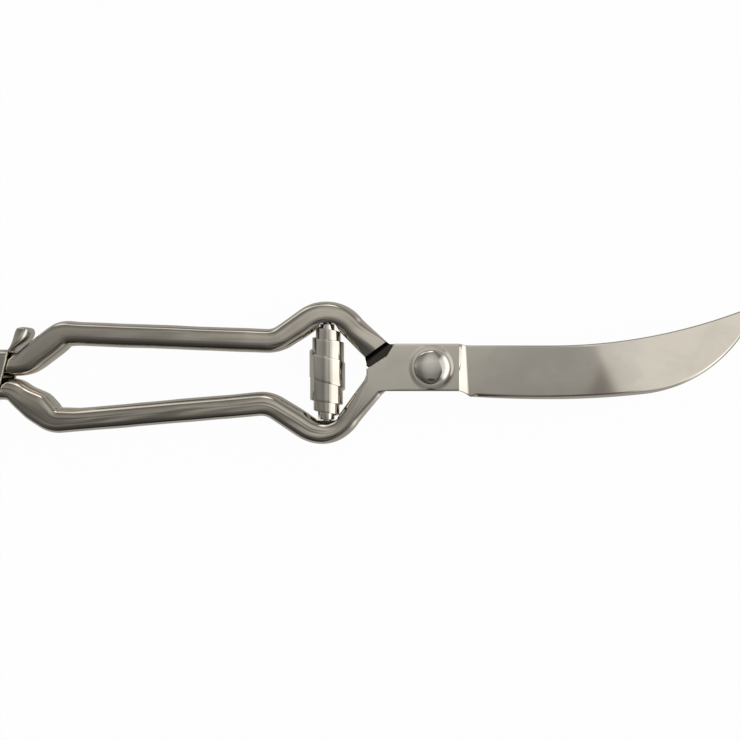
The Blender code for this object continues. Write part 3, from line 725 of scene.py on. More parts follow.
def drill(name, radius, x, y, segments):
    """Round tool that cuts an upright hole through a bar."""
    return turned(name, [
        (0.0, -BAR_DEPTH, 0), (radius, -BAR_DEPTH, 0), (radius, BAR_DEPTH, 0),
        (0.0, BAR_DEPTH, 0),
    ], upright(x, y, LAP_HEIGHT), segments)


def forged_half(name, line, sides, shoulder, side, front, shape):
    """One forged half with its boss around the pivot, bore and spring seat."""
    grid, marks = half_grid(half_stations(line, sides, shoulder, side, front, shape))
    grid = waved(grid, marks["ground"], shape.forge_wave / MM, 11 if front else 23)
    radius = np.hypot(grid[..., 0], grid[..., 1])
    slope = np.clip((BOSS_RADIUS - radius) / BOSS_RUN, 0, 1)
    on_face = np.clip((grid[..., 2] - HALF_DEPTH + 0.3) / 0.3, 0, 1)
    grid[..., 2] += shape.boss_rise / MM * slope * slope * (3 - 2 * slope) * on_face
    grid[..., 2] = LAP_HEIGHT + (1.0 if front else -1.0) * grid[..., 2]
    made = shell(name, grid, marks, sharp=32)

    hole = drill(name + "_bore", SHANK_DIAMETER / 2 + GAP, 0.0, 0.0, 48)
    end = SPRING_TOP if side > 0 else -SPRING_BOTTOM
    seat = PEG_DIAMETER / 2 + GAP + SPRING_STRIP + GAP + SPRING_STEP / 2
    neck = PEG_SHANK / 2 + GAP
    pocket = turned(name + "_seat", [
        (0.0, end - 6.0, 0), (seat, end - 6.0, 0), (seat, end + GAP, 0.4), (neck, end + GAP, 0),
        (neck, end + PEG_DEPTH + 2 * GAP, 0), (0.0, end + PEG_DEPTH + 2 * GAP, 0),
    ], sideways(-SPRING_PLACE, LAP_HEIGHT, side), 64)
    tools = [hole, pocket]
    if not front:
        tools.append(drill(name + "_pin", PIN_DIAMETER / 2 + GAP, -PIN_PLACE, UPPER_TAIL, 32))
    return combine(made, tools, sharp=32)


# ---- turned pieces -----------------------------------------------------------------
def upright(x, y, z):
    """Places a turned shape with its axis along Z."""
    return lambda p: p + np.array([x, y, z])


def sideways(x, z, up):
    """Places a turned shape with its axis along +Y or -Y."""
    return lambda p: np.stack([x + p[..., 0], up * p[..., 2], z + p[..., 1]], axis=-1)


def turned(name, corners, put, segments=ROUND_SEGMENTS, arc_step=12.0, reach=None):
    """Surface of revolution of a profile of (radius, height, corner rounding) rows:
    x = r cos(a), y = r sin(a), z = h.  `reach` may change the radii by angle."""
    profile = bent_line([(r, h, max(f, 1e-4)) for r, h, f in corners], arc_step)
    angle = np.linspace(0, 2 * math.pi, segments, endpoint=False)
    radius = np.maximum(profile[:, :1], 0.0) * np.ones(segments)
    height = profile[:, 1:] * np.ones(segments)
    if reach is not None:
        radius = reach(radius, height, angle[None, :])
    grid = np.stack([radius * np.cos(angle), radius * np.sin(angle), height], axis=-1)
    edge = np.gradient(profile, axis=0)
    bend = np.abs(np.gradient(np.unwrap(np.arctan2(edge[:, 1], edge[:, 0]))))
    rub = np.clip(bend / 0.35, 0, 1)[:, None] * np.ones(segments)
    made = shell(name, put(grid), {"rub": rub, "ground": 1.0}, capped=False)
    return welded(made)


def dome_profile():
    """Head profile from rim to crown: the height over the rim is a shallow parabola plus a
    superellipse of power 4, so the crown is nearly flat and the shoulder turns quickly."""
    radius = HEAD_DIAMETER / 2
    rise = HEAD_HEIGHT - HEAD_RIM
    base = LAP_HEIGHT + HALF_DEPTH + GAP
    a = np.linspace(math.pi / 2, 0, 30)
    out = np.sin(a) ** 0.5
    lift = 0.22 * (1 - out ** 2) + 0.78 * np.maximum(1 - out ** 4, 0) ** 0.25
    return [(radius * r, base + HEAD_RIM + rise * h, 0) for r, h in zip(out, lift)]


def hexagon(flats, chamfer, top):
    """Radius rule of a nut: the hexagon's own radius at each angle, but never more than a
    cone that turns the corners off at both ends."""
    def rule(radius, height, angle):
        folded = (angle + math.pi / 6) % (math.pi / 3) - math.pi / 6
        across = flats / 2 / np.cos(folded)
        edge = np.minimum(height, top - height)
        cone = flats / 2 + 0.35 + edge * 1.732
        outside = radius > flats / 2 - chamfer
        return np.where(outside, np.minimum(across, cone) + radius - flats / 2, radius)
    return rule


# ---- volute spring -----------------------------------------------------------------
def strip_section(half_thick, half_wide, edge, flat_points, corner_points=4):
    """Rounded rectangle as (out, up) columns, around once; half_wide may be an array."""
    half_wide = np.atleast_1d(half_wide)[:, None]
    t = np.linspace(0, math.pi / 2, corner_points)
    out = np.concatenate([
        half_thick - edge + edge * np.cos(t), np.linspace(half_thick - edge, edge - half_thick,
                                                          4)[1:-1],
        edge - half_thick - edge * np.sin(t), np.full(flat_points, -half_thick),
        edge - half_thick - edge * np.cos(t), np.linspace(edge - half_thick, half_thick - edge,
                                                          4)[1:-1],
        half_thick - edge + edge * np.sin(t), np.full(flat_points, half_thick),
    ])
    inset_top = edge - edge * np.sin(t)
    inset_side = edge - edge * np.cos(t)
    flat = np.linspace(1, -1, flat_points + 2)[1:-1]
    level = half_wide - edge
    rows = np.ones_like(half_wide)
    up = np.concatenate([
        half_wide - inset_top * rows, half_wide * np.ones(2), half_wide - inset_side * rows,
        level * flat, -half_wide + inset_top * rows, -half_wide * np.ones(2),
        -half_wide + inset_side * rows, -level * flat,
    ], axis=1)
    return np.broadcast_to(out, up.shape), up


def volute_grid(shape):
    """Flat strip wound on edge.  With turn count w from the middle, b = |w| - 1/2 beyond
    the widest turn: radius = R - step b, width and climb change evenly with b, and the
    strip stands at angle 2 pi w around the Y axis."""
    half_turns = SPRING_TURNS / 2
    turns = np.linspace(-half_turns, half_turns, int(SPRING_TURNS * 84) + 1)
    beyond = np.maximum(np.abs(turns) - 0.5, 0.0)
    radius = SPRING_RADIUS - SPRING_STEP * beyond
    share = beyond / (half_turns - 0.5)
    width = STRIP_MIDDLE + (STRIP_END - STRIP_MIDDLE) * share
    middle = (SPRING_TOP + SPRING_BOTTOM) / 2
    reach = (SPRING_TOP - SPRING_BOTTOM - STRIP_END) / 2
    inner_rise = 0.5 * STRIP_MIDDLE * 0.98
    climb = np.where(
        np.abs(turns) <= 0.5, turns * 2 * inner_rise,
        np.sign(turns) * (inner_rise + (reach - inner_rise) * share))
    angle = (2 * math.pi * turns + math.radians(60))[:, None]
    edge = shape.strip_edge / MM
    out, up = strip_section(SPRING_STRIP / 2, width / 2, edge, 10)
    r = radius[:, None] + out
    grid = np.stack([
        -SPRING_PLACE + r * np.cos(angle),
        middle + climb[:, None] + up,
        LAP_HEIGHT + r * np.sin(angle),
    ], axis=-1)
    rim = np.clip(1 - (width[:, None] / 2 - np.abs(up)) / 0.5, 0, 1)
    return grid, rim


# ---- latch -------------------------------------------------------------------------
def cheek_reach(y, top):
    """Rear and front edge of a cheek at height y: a round toe, a front that leans forward
    to the bridge with y to the power 0.8, and a round eye about the pin at the rear."""
    toe_x, toe_y = TOE_X, TOE_Y
    half = np.sqrt(np.maximum(CHEEK_TOE ** 2 - (toe_y - y) ** 2, 0.5))
    rise = np.clip((y - toe_y) / (top - toe_y), 0, 1)
    lean = toe_x + CHEEK_TOE + (-LATCH_FRONT - toe_x - CHEEK_TOE) * rise ** 0.8
    share = np.clip((y - toe_y) / (UPPER_TAIL - toe_y), 0, 1)
    back = toe_x - CHEEK_TOE + (-PIN_PLACE - LATCH_EYE - toe_x + CHEEK_TOE) * share
    lift = np.clip(y - UPPER_TAIL, 0, LATCH_EYE * 0.86)
    eye = -PIN_PLACE - np.sqrt(LATCH_EYE ** 2 - lift ** 2)
    rear = np.where(y < toe_y, toe_x - half, np.where(y < UPPER_TAIL, back, eye))
    return rear, np.where(y < toe_y, toe_x + half, lean)


def plate_section(rear, front, half, edge):
    """Rounded rectangle around a sheet: (x, out) columns from the rear to the front edge."""
    t = np.linspace(0, math.pi / 2, 4)
    x_rear = edge - edge * np.cos(t)
    out = half - edge + edge * np.sin(t)
    s = np.linspace(0, 1, SHEET_POINTS + 2)[1:-1]
    near, far = rear[:, None], front[:, None]
    x = np.concatenate([
        near + x_rear, near + edge + (far - near - 2 * edge) * s, far - x_rear[::-1],
        far - x_rear, far - edge + (near - far + 2 * edge) * s, near + x_rear[::-1],
    ], axis=1)
    flat = np.full(SHEET_POINTS, half)
    ring = np.concatenate([out, flat, out[::-1], -out, -flat, -out[::-1]])
    return x, np.broadcast_to(ring, x.shape)


def stirrup_grid(shape):
    """U-shaped sheet: its middle line runs up one cheek, around two bends and down the
    other, and at each height the sheet reaches from the rear to the front edge."""
    sheet = LATCH_SHEET / 2
    cheek = HALF_DEPTH + GAP + sheet
    top = LATCH_TOP - sheet
    bottom = TOE_Y - CHEEK_TOE
    ease = 1 - np.cos(np.linspace(0, math.pi / 2, 22))
    low = bottom + 0.03 + (TOE_Y - bottom - 0.03) * ease
    straight = np.linspace(TOE_Y, top - BEND_RADIUS, 26)[1:]
    bend = np.linspace(0, math.pi / 2, 12)[1:]
    y = np.concatenate([low, straight, top - BEND_RADIUS + BEND_RADIUS * np.sin(bend)])
    z = np.concatenate([np.full(len(low) + len(straight), cheek),
                        cheek - BEND_RADIUS * (1 - np.cos(bend))])
    lean = np.concatenate([np.zeros(len(low) + len(straight)), bend])
    bridge = np.linspace(z[-1], -z[-1], SHEET_POINTS + 2)[1:-1]
    y = np.concatenate([y, np.full(SHEET_POINTS, top), y[::-1]])
    lean = np.concatenate([lean, np.full(SHEET_POINTS, math.pi / 2), math.pi - lean[::-1]])
    z = np.concatenate([z, bridge, -z[::-1]])
    rear, front = cheek_reach(y, top)
    edge = np.minimum(shape.sheet_edge / MM, sheet * 0.9)
    x, out = plate_section(rear, front, sheet, edge)
    return np.stack([
        x,
        y[:, None] + out * np.sin(lean)[:, None],
        LAP_HEIGHT + z[:, None] + out * np.cos(lean)[:, None],
    ], axis=-1)


def tab_grid(shape):
    """Thumb tab: a leaf that grows out of the bridge.  Its middle line, half thickness and
    half width follow the rows of its form, and every section is a superellipse of power 3."""
    rows = np.linspace(0, 1, 46)
    keys = np.array(TAB_FORM, float)
    places = np.linspace(0, 1, len(keys))
    form = np.stack([softened(np.interp(rows, places, column), 3) for column in keys.T], axis=1)
    end = np.sqrt(np.clip(1 - ((rows - 0.86) / 0.14) ** 2, 0, 1))
    thick = form[:, 2] * np.where(rows > 0.86, np.maximum(end, 0.12), 1)
    wide = form[:, 3] * np.where(rows > 0.86, np.maximum(end, 0.5), 1)
    a = np.linspace(0, 2 * math.pi, 40, endpoint=False)
    out = np.sign(np.cos(a)) * np.abs(np.cos(a)) ** (2 / 3)
    up = np.sign(np.sin(a)) * np.abs(np.sin(a)) ** (2 / 3)
    x = -LATCH_FRONT + form[:, 0]
    y = LATCH_TOP - LATCH_SHEET / 2 + form[:, 1]
    return np.stack([
        x[:, None] + thick[:, None] * out,
        y[:, None] + np.zeros_like(a),
        LAP_HEIGHT + wide[:, None] * up,
    ], axis=-1)


# ---- node helpers and shared effects -----------------------------------------------
def add_node(tree, kind, links=None, **settings):
    """A node with its settings and its inputs, given by name or number."""
    made = tree.nodes.new(kind)
    for key, value in settings.items():
        setattr(made, key, value)
    for key, value in (links or {}).items():
        if isinstance(value, bpy.types.NodeSocket):
            tree.links.new(value, made.inputs[key])
        else:
            made.inputs[key].default_value = value
    return made


def math_node(tree, operation, first, second=0.5, clamp=False):
    """Output of a Math node."""
    return add_node(
        tree, "ShaderNodeMath", {0: first, 1: second}, operation=operation, use_clamp=clamp
    ).outputs[0]


def mix_value(tree, factor, low, high):
    """Value between low and high by a factor."""
    return add_node(tree, "ShaderNodeMix", {"Factor": factor, 2: low, 3: high},
                    data_type="FLOAT").outputs[0]


def mix_colour(tree, factor, low, high, blend="MIX"):
    """Colour between low and high by a factor."""
    return add_node(tree, "ShaderNodeMix", {"Factor": factor, 6: low, 7: high},
                    data_type="RGBA", blend_type=blend).outputs[2]


def ramp(tree, value, stops, interpolation="EASE"):
    """Output of a colour ramp through (place, grey or colour) stops."""
    made = add_node(tree, "ShaderNodeValToRGB", {0: value})
    made.color_ramp.interpolation = interpolation
    elements = made.color_ramp.elements
    while len(elements) < len(stops):
        elements.new(0.5)
    for element, (at, tone) in zip(elements, stops):
        element.position = at
        element.color = (*tone, 1.0) if isinstance(tone, tuple) else (tone, tone, tone, 1.0)
    return made.outputs[0]


def effect(name, inputs, outputs):
    """An empty node group with named float or vector inputs and float outputs, and its
    input and output nodes."""
    tree = bpy.data.node_groups.new(name, "ShaderNodeTree")
    for label, kind, value in inputs:
        socket = tree.interface.new_socket(label, in_out="INPUT", socket_type=kind)
        if value is not None:
            socket.default_value = value
    for label in outputs:
        tree.interface.new_socket(label, in_out="OUTPUT", socket_type="NodeSocketFloat")
    return tree, tree.nodes.new("NodeGroupInput"), tree.nodes.new("NodeGroupOutput")


def polish_marks():
    """Polishing marks along a surface: fine lines, sparse scratches and soft smudges."""
    name = "polish_marks"
    if name in bpy.data.node_groups:
        return bpy.data.node_groups[name]
    tree, given, result = effect(name, [
        ("Surface", "NodeSocketVector", None),
        ("Place", "NodeSocketVector", None),
        ("Line spacing", "NodeSocketFloat", 2600.0),
        ("Line length", "NodeSocketFloat", 60.0),
        ("Scratch amount", "NodeSocketFloat", 0.35),
        ("Smudge size", "NodeSocketFloat", 55.0),
    ], ["Lines", "Scratches", "Smudges"])
    stretch = add_node(tree, "ShaderNodeCombineXYZ", {
        0: given.outputs["Line length"], 1: given.outputs["Line spacing"], 2: 1.0})
    along = add_node(tree, "ShaderNodeVectorMath", {
        0: given.outputs["Surface"], 1: stretch.outputs[0]}, operation="MULTIPLY")
    lines = add_node(tree, "ShaderNodeTexNoise", {
        "Vector": along.outputs[0], "Scale": 1.0, "Detail": 3.0, "Roughness": 0.6})
    tree.links.new(lines.outputs[0], result.inputs["Lines"])
    askew = add_node(tree, "ShaderNodeVectorRotate", {
        "Vector": given.outputs["Surface"], "Angle": 0.35}, rotation_type="Z_AXIS")
    sparse = add_node(tree, "ShaderNodeVectorMath", {
        0: askew.outputs[0], 1: (70.0, 5200.0, 1.0)}, operation="MULTIPLY")
    fine = add_node(tree, "ShaderNodeTexNoise", {
        "Vector": sparse.outputs[0], "Scale": 1.0, "Detail": 1.0, "Roughness": 0.4})
    threshold = math_node(tree, "SUBTRACT", 0.86, math_node(
        tree, "MULTIPLY", given.outputs["Scratch amount"], 0.2))
    scratch = math_node(tree, "MULTIPLY", math_node(
        tree, "SUBTRACT", fine.outputs[0], threshold), 22.0, clamp=True)
    tree.links.new(scratch, result.inputs["Scratches"])
    clouds = add_node(tree, "ShaderNodeTexNoise", {
        "Vector": given.outputs["Place"], "Scale": given.outputs["Smudge size"],
        "Detail": 4.0, "Roughness": 0.55, "Distortion": 0.6})
    smudge = add_node(tree, "ShaderNodeMapRange", {
        0: clouds.outputs[0], 1: 0.38, 2: 0.68, 3: 0.0, 4: 1.0}, interpolation_type="SMOOTHSTEP")
    tree.links.new(smudge.outputs[0], result.inputs["Smudges"])
    return tree


def edge_rub():
    """Rubbed edges: the edge mark broken up by fine noise."""
    name = "edge_rub"
    if name in bpy.data.node_groups:
        return bpy.data.node_groups[name]
    tree, given, result = effect(name, [
        ("Edge", "NodeSocketFloat", 0.0),
        ("Place", "NodeSocketVector", None),
        ("Break up", "NodeSocketFloat", 0.6),
    ], ["Mask"])
    grit = add_node(tree, "ShaderNodeTexNoise", {
        "Vector": given.outputs["Place"], "Scale": 420.0, "Detail": 3.0, "Roughness": 0.6})
    broken = math_node(tree, "SUBTRACT", 1.0, math_node(
        tree, "MULTIPLY", grit.outputs[0], given.outputs["Break up"]))
    mask = math_node(tree, "MULTIPLY", given.outputs["Edge"], broken, clamp=True)
    tree.links.new(mask, result.inputs["Mask"])
    return tree


# Shares of a steel's colour where it is smudged, brown in the lines, and rubbed.
DULL, BROWN, LIGHT = (0.88, 0.88, 0.88), (0.72, 0.67, 0.60), (1.12, 1.12, 1.12)
# Near-black colour painted into the recess by the lap as shade.
PAINTED_SHADE_TONE = (0.035, 0.03, 0.026, 1.0)


def steel(name, colour, roughness, spacing=2600.0, length=60.0, scratches=0.35, wave=0.12,
          bars=0.0, streak=0.35):
    """Polished steel: colour varies with smudges, lines and rubbed edges and is painted near
    black as shade in the recess by the lap, roughness varies with lines, scratches and smudges,
    and a shallow bump carries the lines and scratches.  `bars` roughens what the ground mark
    leaves out."""
    made = bpy.data.materials.new(name)
    made.use_nodes = True
    tree = made.node_tree
    shader = tree.nodes["Principled BSDF"]
    shader.inputs["Metallic"].default_value = 1.0
    place_at = add_node(tree, "ShaderNodeTexCoord").outputs["Object"]
    surface = add_node(tree, "ShaderNodeUVMap", uv_map="surface").outputs[0]
    edge = add_node(tree, "ShaderNodeAttribute", attribute_name="rub").outputs["Fac"]
    ground = add_node(tree, "ShaderNodeAttribute", attribute_name="ground").outputs["Fac"]
    painted_shade = add_node(tree, "ShaderNodeAttribute", attribute_name="painted_shade").outputs["Fac"]
    marks = add_node(tree, "ShaderNodeGroup", node_tree=polish_marks())
    rub = add_node(tree, "ShaderNodeGroup", node_tree=edge_rub())
    for group in (marks, rub):
        tree.links.new(place_at, group.inputs["Place"])
    tree.links.new(surface, marks.inputs["Surface"])
    tree.links.new(edge, rub.inputs["Edge"])
    marks.inputs["Line spacing"].default_value = spacing
    marks.inputs["Line length"].default_value = length
    marks.inputs["Scratch amount"].default_value = scratches
    lines, dents = marks.outputs["Lines"], math_node(tree, "SUBTRACT", 1.0, ground)
    dull, brown, light = (
        (*(min(1.0, share * c) for share, c in zip(shares, colour)), 1.0)
        for shares in (DULL, BROWN, LIGHT))
    base = mix_colour(tree, marks.outputs["Smudges"], (*colour, 1.0), dull)
    streaks = math_node(tree, "MULTIPLY", lines, mix_value(tree, dents, streak * 0.4, streak * 2))
    base = mix_colour(tree, streaks, base, brown)
    base = mix_colour(tree, rub.outputs["Mask"], base, light)
    # Painted shade: the recess by the lap is mixed towards near black.
    base = mix_colour(tree, math_node(tree, "MULTIPLY", painted_shade, 0.93), base, PAINTED_SHADE_TONE)
    tree.links.new(base, shader.inputs["Base Color"])
    rough = mix_value(tree, dents, roughness, roughness + bars)
    for part, share in ((marks.outputs["Smudges"], 0.025), (lines, 0.015), (painted_shade, 0.3),
                        (marks.outputs["Scratches"], 0.09)):
        rough = math_node(
            tree, "ADD", rough, math_node(tree, "MULTIPLY", part, share), clamp=True)
    tree.links.new(rough, shader.inputs["Roughness"])
    height = math_node(tree, "SUBTRACT", math_node(
        tree, "MULTIPLY", lines, mix_value(tree, dents, 0.2, 1.0)), math_node(
        tree, "MULTIPLY", marks.outputs["Scratches"], 0.5))
    bump = add_node(tree, "ShaderNodeBump", {
        "Height": height, "Strength": wave, "Distance": 0.00002})
    tree.links.new(bump.outputs[0], shader.inputs["Normal"])
    return made


# ---- operators ---------------------------------------------------------------------
class SHEARS_OT_forgings(bpy.types.Operator):
    """Build the two forged halves with their blades, plates and handle bars"""

    bl_idname = "shears.forgings"
    bl_label = "Forged halves"

    def execute(self, context):
        shape, finish = context.scene.shears_shape, context.scene.shears_finish
        forged = steel("forged_steel", tuple(finish.forged_colour), finish.polish, bars=0.05)
        lower = forged_half(
            "lower_forging", LOWER_LINE, LOWER_SIDES, LOWER_SHOULDER, -1, True, shape)
        upper = forged_half(
            "upper_forging", UPPER_LINE, UPPER_SIDES, UPPER_SHOULDER, 1, False, shape)
        place(lower, "front", "polished_steel", forged, "front_half")
        place(upper, "back", "polished_steel", forged, "back_half")
        return {"FINISHED"}


class SHEARS_OT_pivot(bpy.types.Operator):
    """Build the domed screw, the washer and the cap nut"""

    bl_idname = "shears.pivot"
    bl_label = "Pivot screw, washer and nut"

    def execute(self, context):
        finish = context.scene.shears_finish
        bright = steel("turned_steel", tuple(finish.screw_colour), 0.05, spacing=60.0,
                       length=5200.0, scratches=0.2)
        base = LAP_HEIGHT + HALF_DEPTH + GAP
        shank = SHANK_DIAMETER / 2
        radius = HEAD_DIAMETER / 2
        screw = turned("dome_screw", [
            (0.0, NUT_FLOOR + GAP, 0), (shank, NUT_FLOOR + GAP, 0.4), (shank, base, 0.1),
            (radius - 0.15, base, 0.1), *dome_profile(),
        ], upright(0, 0, 0))
        place(screw, "front", "bright_steel", bright, "pivot_screw")
        low, high = NUT_HEIGHT + GAP, NUT_HEIGHT + GAP + WASHER_THICKNESS
        inner, outer = SHANK_DIAMETER / 2 + GAP, WASHER_DIAMETER / 2
        angle = np.linspace(0, 2 * math.pi, ROUND_SEGMENTS, endpoint=False)
        loop = bent_line([
            ((inner + outer) / 2, low, 0), (outer, low, 0.15), (outer, high, 0.15),
            (inner, high, 0.15), (inner, low, 0.15), ((inner + outer) / 2, low, 0),
        ], 15.0)[:-1]
        grid = np.stack([
            loop[:, :1] * np.cos(angle), loop[:, :1] * np.sin(angle),
            loop[:, 1:] * np.ones(ROUND_SEGMENTS),
        ], axis=-1)
        washer = welded(shell("pivot_ring", grid, {"rub": 0.0, "ground": 1.0}, loop_rows=True))
        place(washer, "front", "bright_steel", bright, "pivot_washer")
        bore = SHANK_DIAMETER / 2 + GAP
        across = NUT_FLATS / 2
        nut = turned("cap_nut", [
            (0.0, 0.0, 0), (across - 0.7, 0.0, 0.1), (across, 0.25, 0.3),
            (across, NUT_HEIGHT - 0.25, 0.3), (across - 0.7, NUT_HEIGHT, 0.1),
            (bore + 0.35, NUT_HEIGHT, 0.05), (bore, NUT_HEIGHT - 0.35, 0.05),
            (bore, NUT_FLOOR, 0.05), (0.0, NUT_FLOOR, 0),
        ], upright(0, 0, 0), 144, reach=hexagon(NUT_FLATS, 0.8, NUT_HEIGHT))
        place(nut, "front", "bright_steel", bright, "pivot_nut")
        return {"FINISHED"}


class SHEARS_OT_spring(bpy.types.Operator):
    """Build the volute spring and its two pegs"""

    bl_idname = "shears.spring"
    bl_label = "Volute spring and pegs"

    def execute(self, context):
        shape, finish = context.scene.shears_shape, context.scene.shears_finish
        wound = steel("wound_steel", tuple(finish.spring_colour), 0.09, spacing=3400.0,
                      length=120.0, scratches=0.5)
        bright = steel("peg_steel", tuple(finish.screw_colour), 0.09, spacing=2200.0)
        grid, rim = volute_grid(shape)
        spring = shell("volute_strip", grid, {"rub": rim * 0.7, "ground": 1.0})
        place(spring, None, "spring_steel", wound, "volute_spring")
        body, shank = PEG_DIAMETER / 2, PEG_SHANK / 2
        for name, end, side, rides, node_name in (
            ("lower_peg", -SPRING_BOTTOM, -1, "front", "front_spring_peg"),
            ("upper_peg", SPRING_TOP, 1, "back", "back_spring_peg"),
        ):
            peg = turned(name, [
                (0.0, end - PEG_LENGTH, 0), (body - 0.5, end - PEG_LENGTH, 0.2),
                (body, end - PEG_LENGTH + 0.5, 0.2), (body, end, 0.2), (shank, end, 0.1),
                (shank, end + PEG_DEPTH, 0.2), (0.0, end + PEG_DEPTH, 0),
            ], sideways(-SPRING_PLACE, LAP_HEIGHT, side), 48)
            place(peg, rides, "bright_steel", bright, node_name)
        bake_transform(spring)
        return {"FINISHED"}


class SHEARS_OT_latch(bpy.types.Operator):
    """Build the stirrup latch with its thumb tab, and the rivet it swings on"""

    bl_idname = "shears.latch"
    bl_label = "Latch and rivet"

    def execute(self, context):
        shape, finish = context.scene.shears_shape, context.scene.shears_finish
        sheet = steel("sheet_steel", tuple(finish.sheet_colour), 0.13, spacing=1800.0,
                      scratches=0.6, bars=0.0)
        bright = steel("rivet_steel", tuple(finish.screw_colour), 0.08, spacing=60.0,
                       length=5200.0)
        stirrup = shell("latch_stirrup", stirrup_grid(shape), {"rub": 0.2, "ground": 1.0})
        tab = shell("latch_tab", tab_grid(shape), {"rub": 0.2, "ground": 1.0})
        combine(stirrup, [tab], "UNION")
        hole = drill("latch_hole", PIN_DIAMETER / 2 + GAP, -PIN_PLACE, UPPER_TAIL, 32)
        combine(stirrup, [hole])
        place(stirrup, "latch", "latch_steel", sheet, "latch")
        shank, head = PIN_DIAMETER / 2, PIN_HEAD / 2
        face = HALF_DEPTH + GAP + LATCH_SHEET + GAP
        top = face + PIN_HEAD_HEIGHT
        rivet = turned("latch_rivet", [
            (0.0, -top, 0), (head * 0.62, -top, 0.5), (head, -face - 0.25, 0.12),
            (head, -face, 0.08), (shank, -face, 0.05), (shank, face, 0.05), (head, face, 0.08),
            (head, face + 0.25, 0.12), (head * 0.62, top, 0.5), (0.0, top, 0),
        ], upright(-PIN_PLACE, UPPER_TAIL, LAP_HEIGHT), 64)
        place(rivet, "back", "bright_steel", bright, "latch_pin")
        return {"FINISHED"}


class SHEARS_OT_stage(bpy.types.Operator):
    """Build the pale floor, the soft surroundings and the camera"""

    bl_idname = "shears.stage"
    bl_label = "Floor, light and camera"

    def execute(self, context):
        stage = context.scene.shears_stage
        build_floor(stage)
        build_tent(context.scene, stage)
        build_camera(context.scene, stage)
        context.scene.view_settings.view_transform = "Standard"
        return {"FINISHED"}


# Floor: size to each side, height, and its glow and share of it as mirrored and as seen.
FLOOR_HALF, FLOOR_HEIGHT, FLOOR_CELLS = 3.0, -0.0003, 8
FLOOR_GLOW, FLOOR_SHARE = (0.50, 1.01), (0.75, 0.96)


def build_floor(stage):
    """Flat square floor just under the nut, nearly white to the eye and pale in what the
    steel mirrors."""
    side = FLOOR_CELLS + 1
    edge = np.linspace(-FLOOR_HALF, FLOOR_HALF, side)
    x, y = np.meshgrid(edge, edge, indexing="ij")
    points = np.stack([x, y, np.full_like(x, FLOOR_HEIGHT)], axis=-1).reshape(-1, 3)
    k, j = np.meshgrid(np.arange(FLOOR_CELLS), np.arange(FLOOR_CELLS), indexing="ij")
    first = (k * side + j).ravel()
    quads = np.stack([first, first + side, first + side + 1, first + 1], axis=1)
    mesh = bpy.data.meshes.new("floor")
    mesh.from_pydata(points.tolist(), [], quads.tolist())
    floor = bpy.data.objects.new("floor", mesh)
    bpy.context.scene.collection.objects.link(floor)
    made = bpy.data.materials.new("pale_floor")
    made.use_nodes = True
    tree = made.node_tree
    shader = tree.nodes["Principled BSDF"]
    shader.inputs["Base Color"].default_value = (*stage.floor_colour, 1.0)
    shader.inputs["Roughness"].default_value = 0.9
    shader.inputs["Specular IOR Level"].default_value = 0.1
    seen = add_node(tree, "ShaderNodeLightPath").outputs["Is Camera Ray"]
    glow = add_node(tree, "ShaderNodeEmission", {
        "Color": (1, 1, 1, 1), "Strength": mix_value(tree, seen, *FLOOR_GLOW)})
    mix = add_node(tree, "ShaderNodeMixShader", {
        0: mix_value(tree, seen, *FLOOR_SHARE), 1: shader.outputs[0], 2: glow.outputs[0]})
    tree.links.new(mix.outputs[0], tree.nodes["Material Output"].inputs["Surface"])
    mesh.materials.append(made)


def span_value(tree, value, low, high):
    """A value's place between low and high, eased and held at 0 and 1."""
    return add_node(tree, "ShaderNodeMapRange", {0: value, 1: low, 2: high, 3: 0.0, 4: 1.0},
                    interpolation_type="SMOOTHSTEP").outputs[0]


def tinted(tree, colour, tint):
    """A colour multiplied by another."""
    return mix_colour(tree, 1.0, colour, tint, "MULTIPLY")


def squared_from(tree, value, middle):
    """Square of a value's distance from a middle."""
    return math_node(tree, "POWER", math_node(
        tree, "ABSOLUTE", math_node(tree, "SUBTRACT", value, middle)), 2.0)


# Brightness overhead by (u + 1) / 2, across by (y + 1) / 2, and of the bright side by
# (u + 1) / 2.
OVERHEAD = [
    (0.0, 0.34), (0.25, 0.27), (0.285, 0.29), (0.31, 0.29), (0.34, 0.30), (0.37, 0.34),
    (0.405, 0.37), (0.425, 0.46), (0.50, 0.58), (0.552, 0.56), (0.567, 0.52), (0.64, 0.46),
    (1.0, 0.50)]
SIDES = [
    (0.0, 0.12), (0.06, 0.20), (0.12, 0.36), (0.26, 0.46), (0.36, 0.84), (0.44, 1.0),
    (0.56, 1.0), (0.66, 0.8), (0.80, 0.50), (0.85, 0.5), (0.88, 2.6), (0.93, 2.6),
    (0.96, 0.6), (1.0, 0.6)]
CARD = [(0.0, 0.96), (0.64, 0.96), (0.75, 1.02), (0.88, 1.6), (1.0, 1.8)]
CARD_FADE, CARD_REST = (0.55, 1.15), (0.25, 0.25, 0.25, 1.0)
# Slant of the boundary, then the slopes where it begins and is full.
BRIGHT_SLANT, BRIGHT_EDGE = 0.43, (0.321, 0.329)
WEDGE_SLANT, WEDGE_EDGE, WEDGE_TINT = 0.39, (0.312, 0.320), (0.60, 0.55, 0.55, 1.0)
# Middle of the opening as (u, v), squares of its inner and outer radius, and its tone.
OPENING_AT, OPENING_EDGE = (0.05, -0.46), (0.012, 0.026)
OPENING_TONE = (0.07, 0.065, 0.06, 1.0)
LOWEST_SLOPE, V_LIMIT = 0.03, 0.15


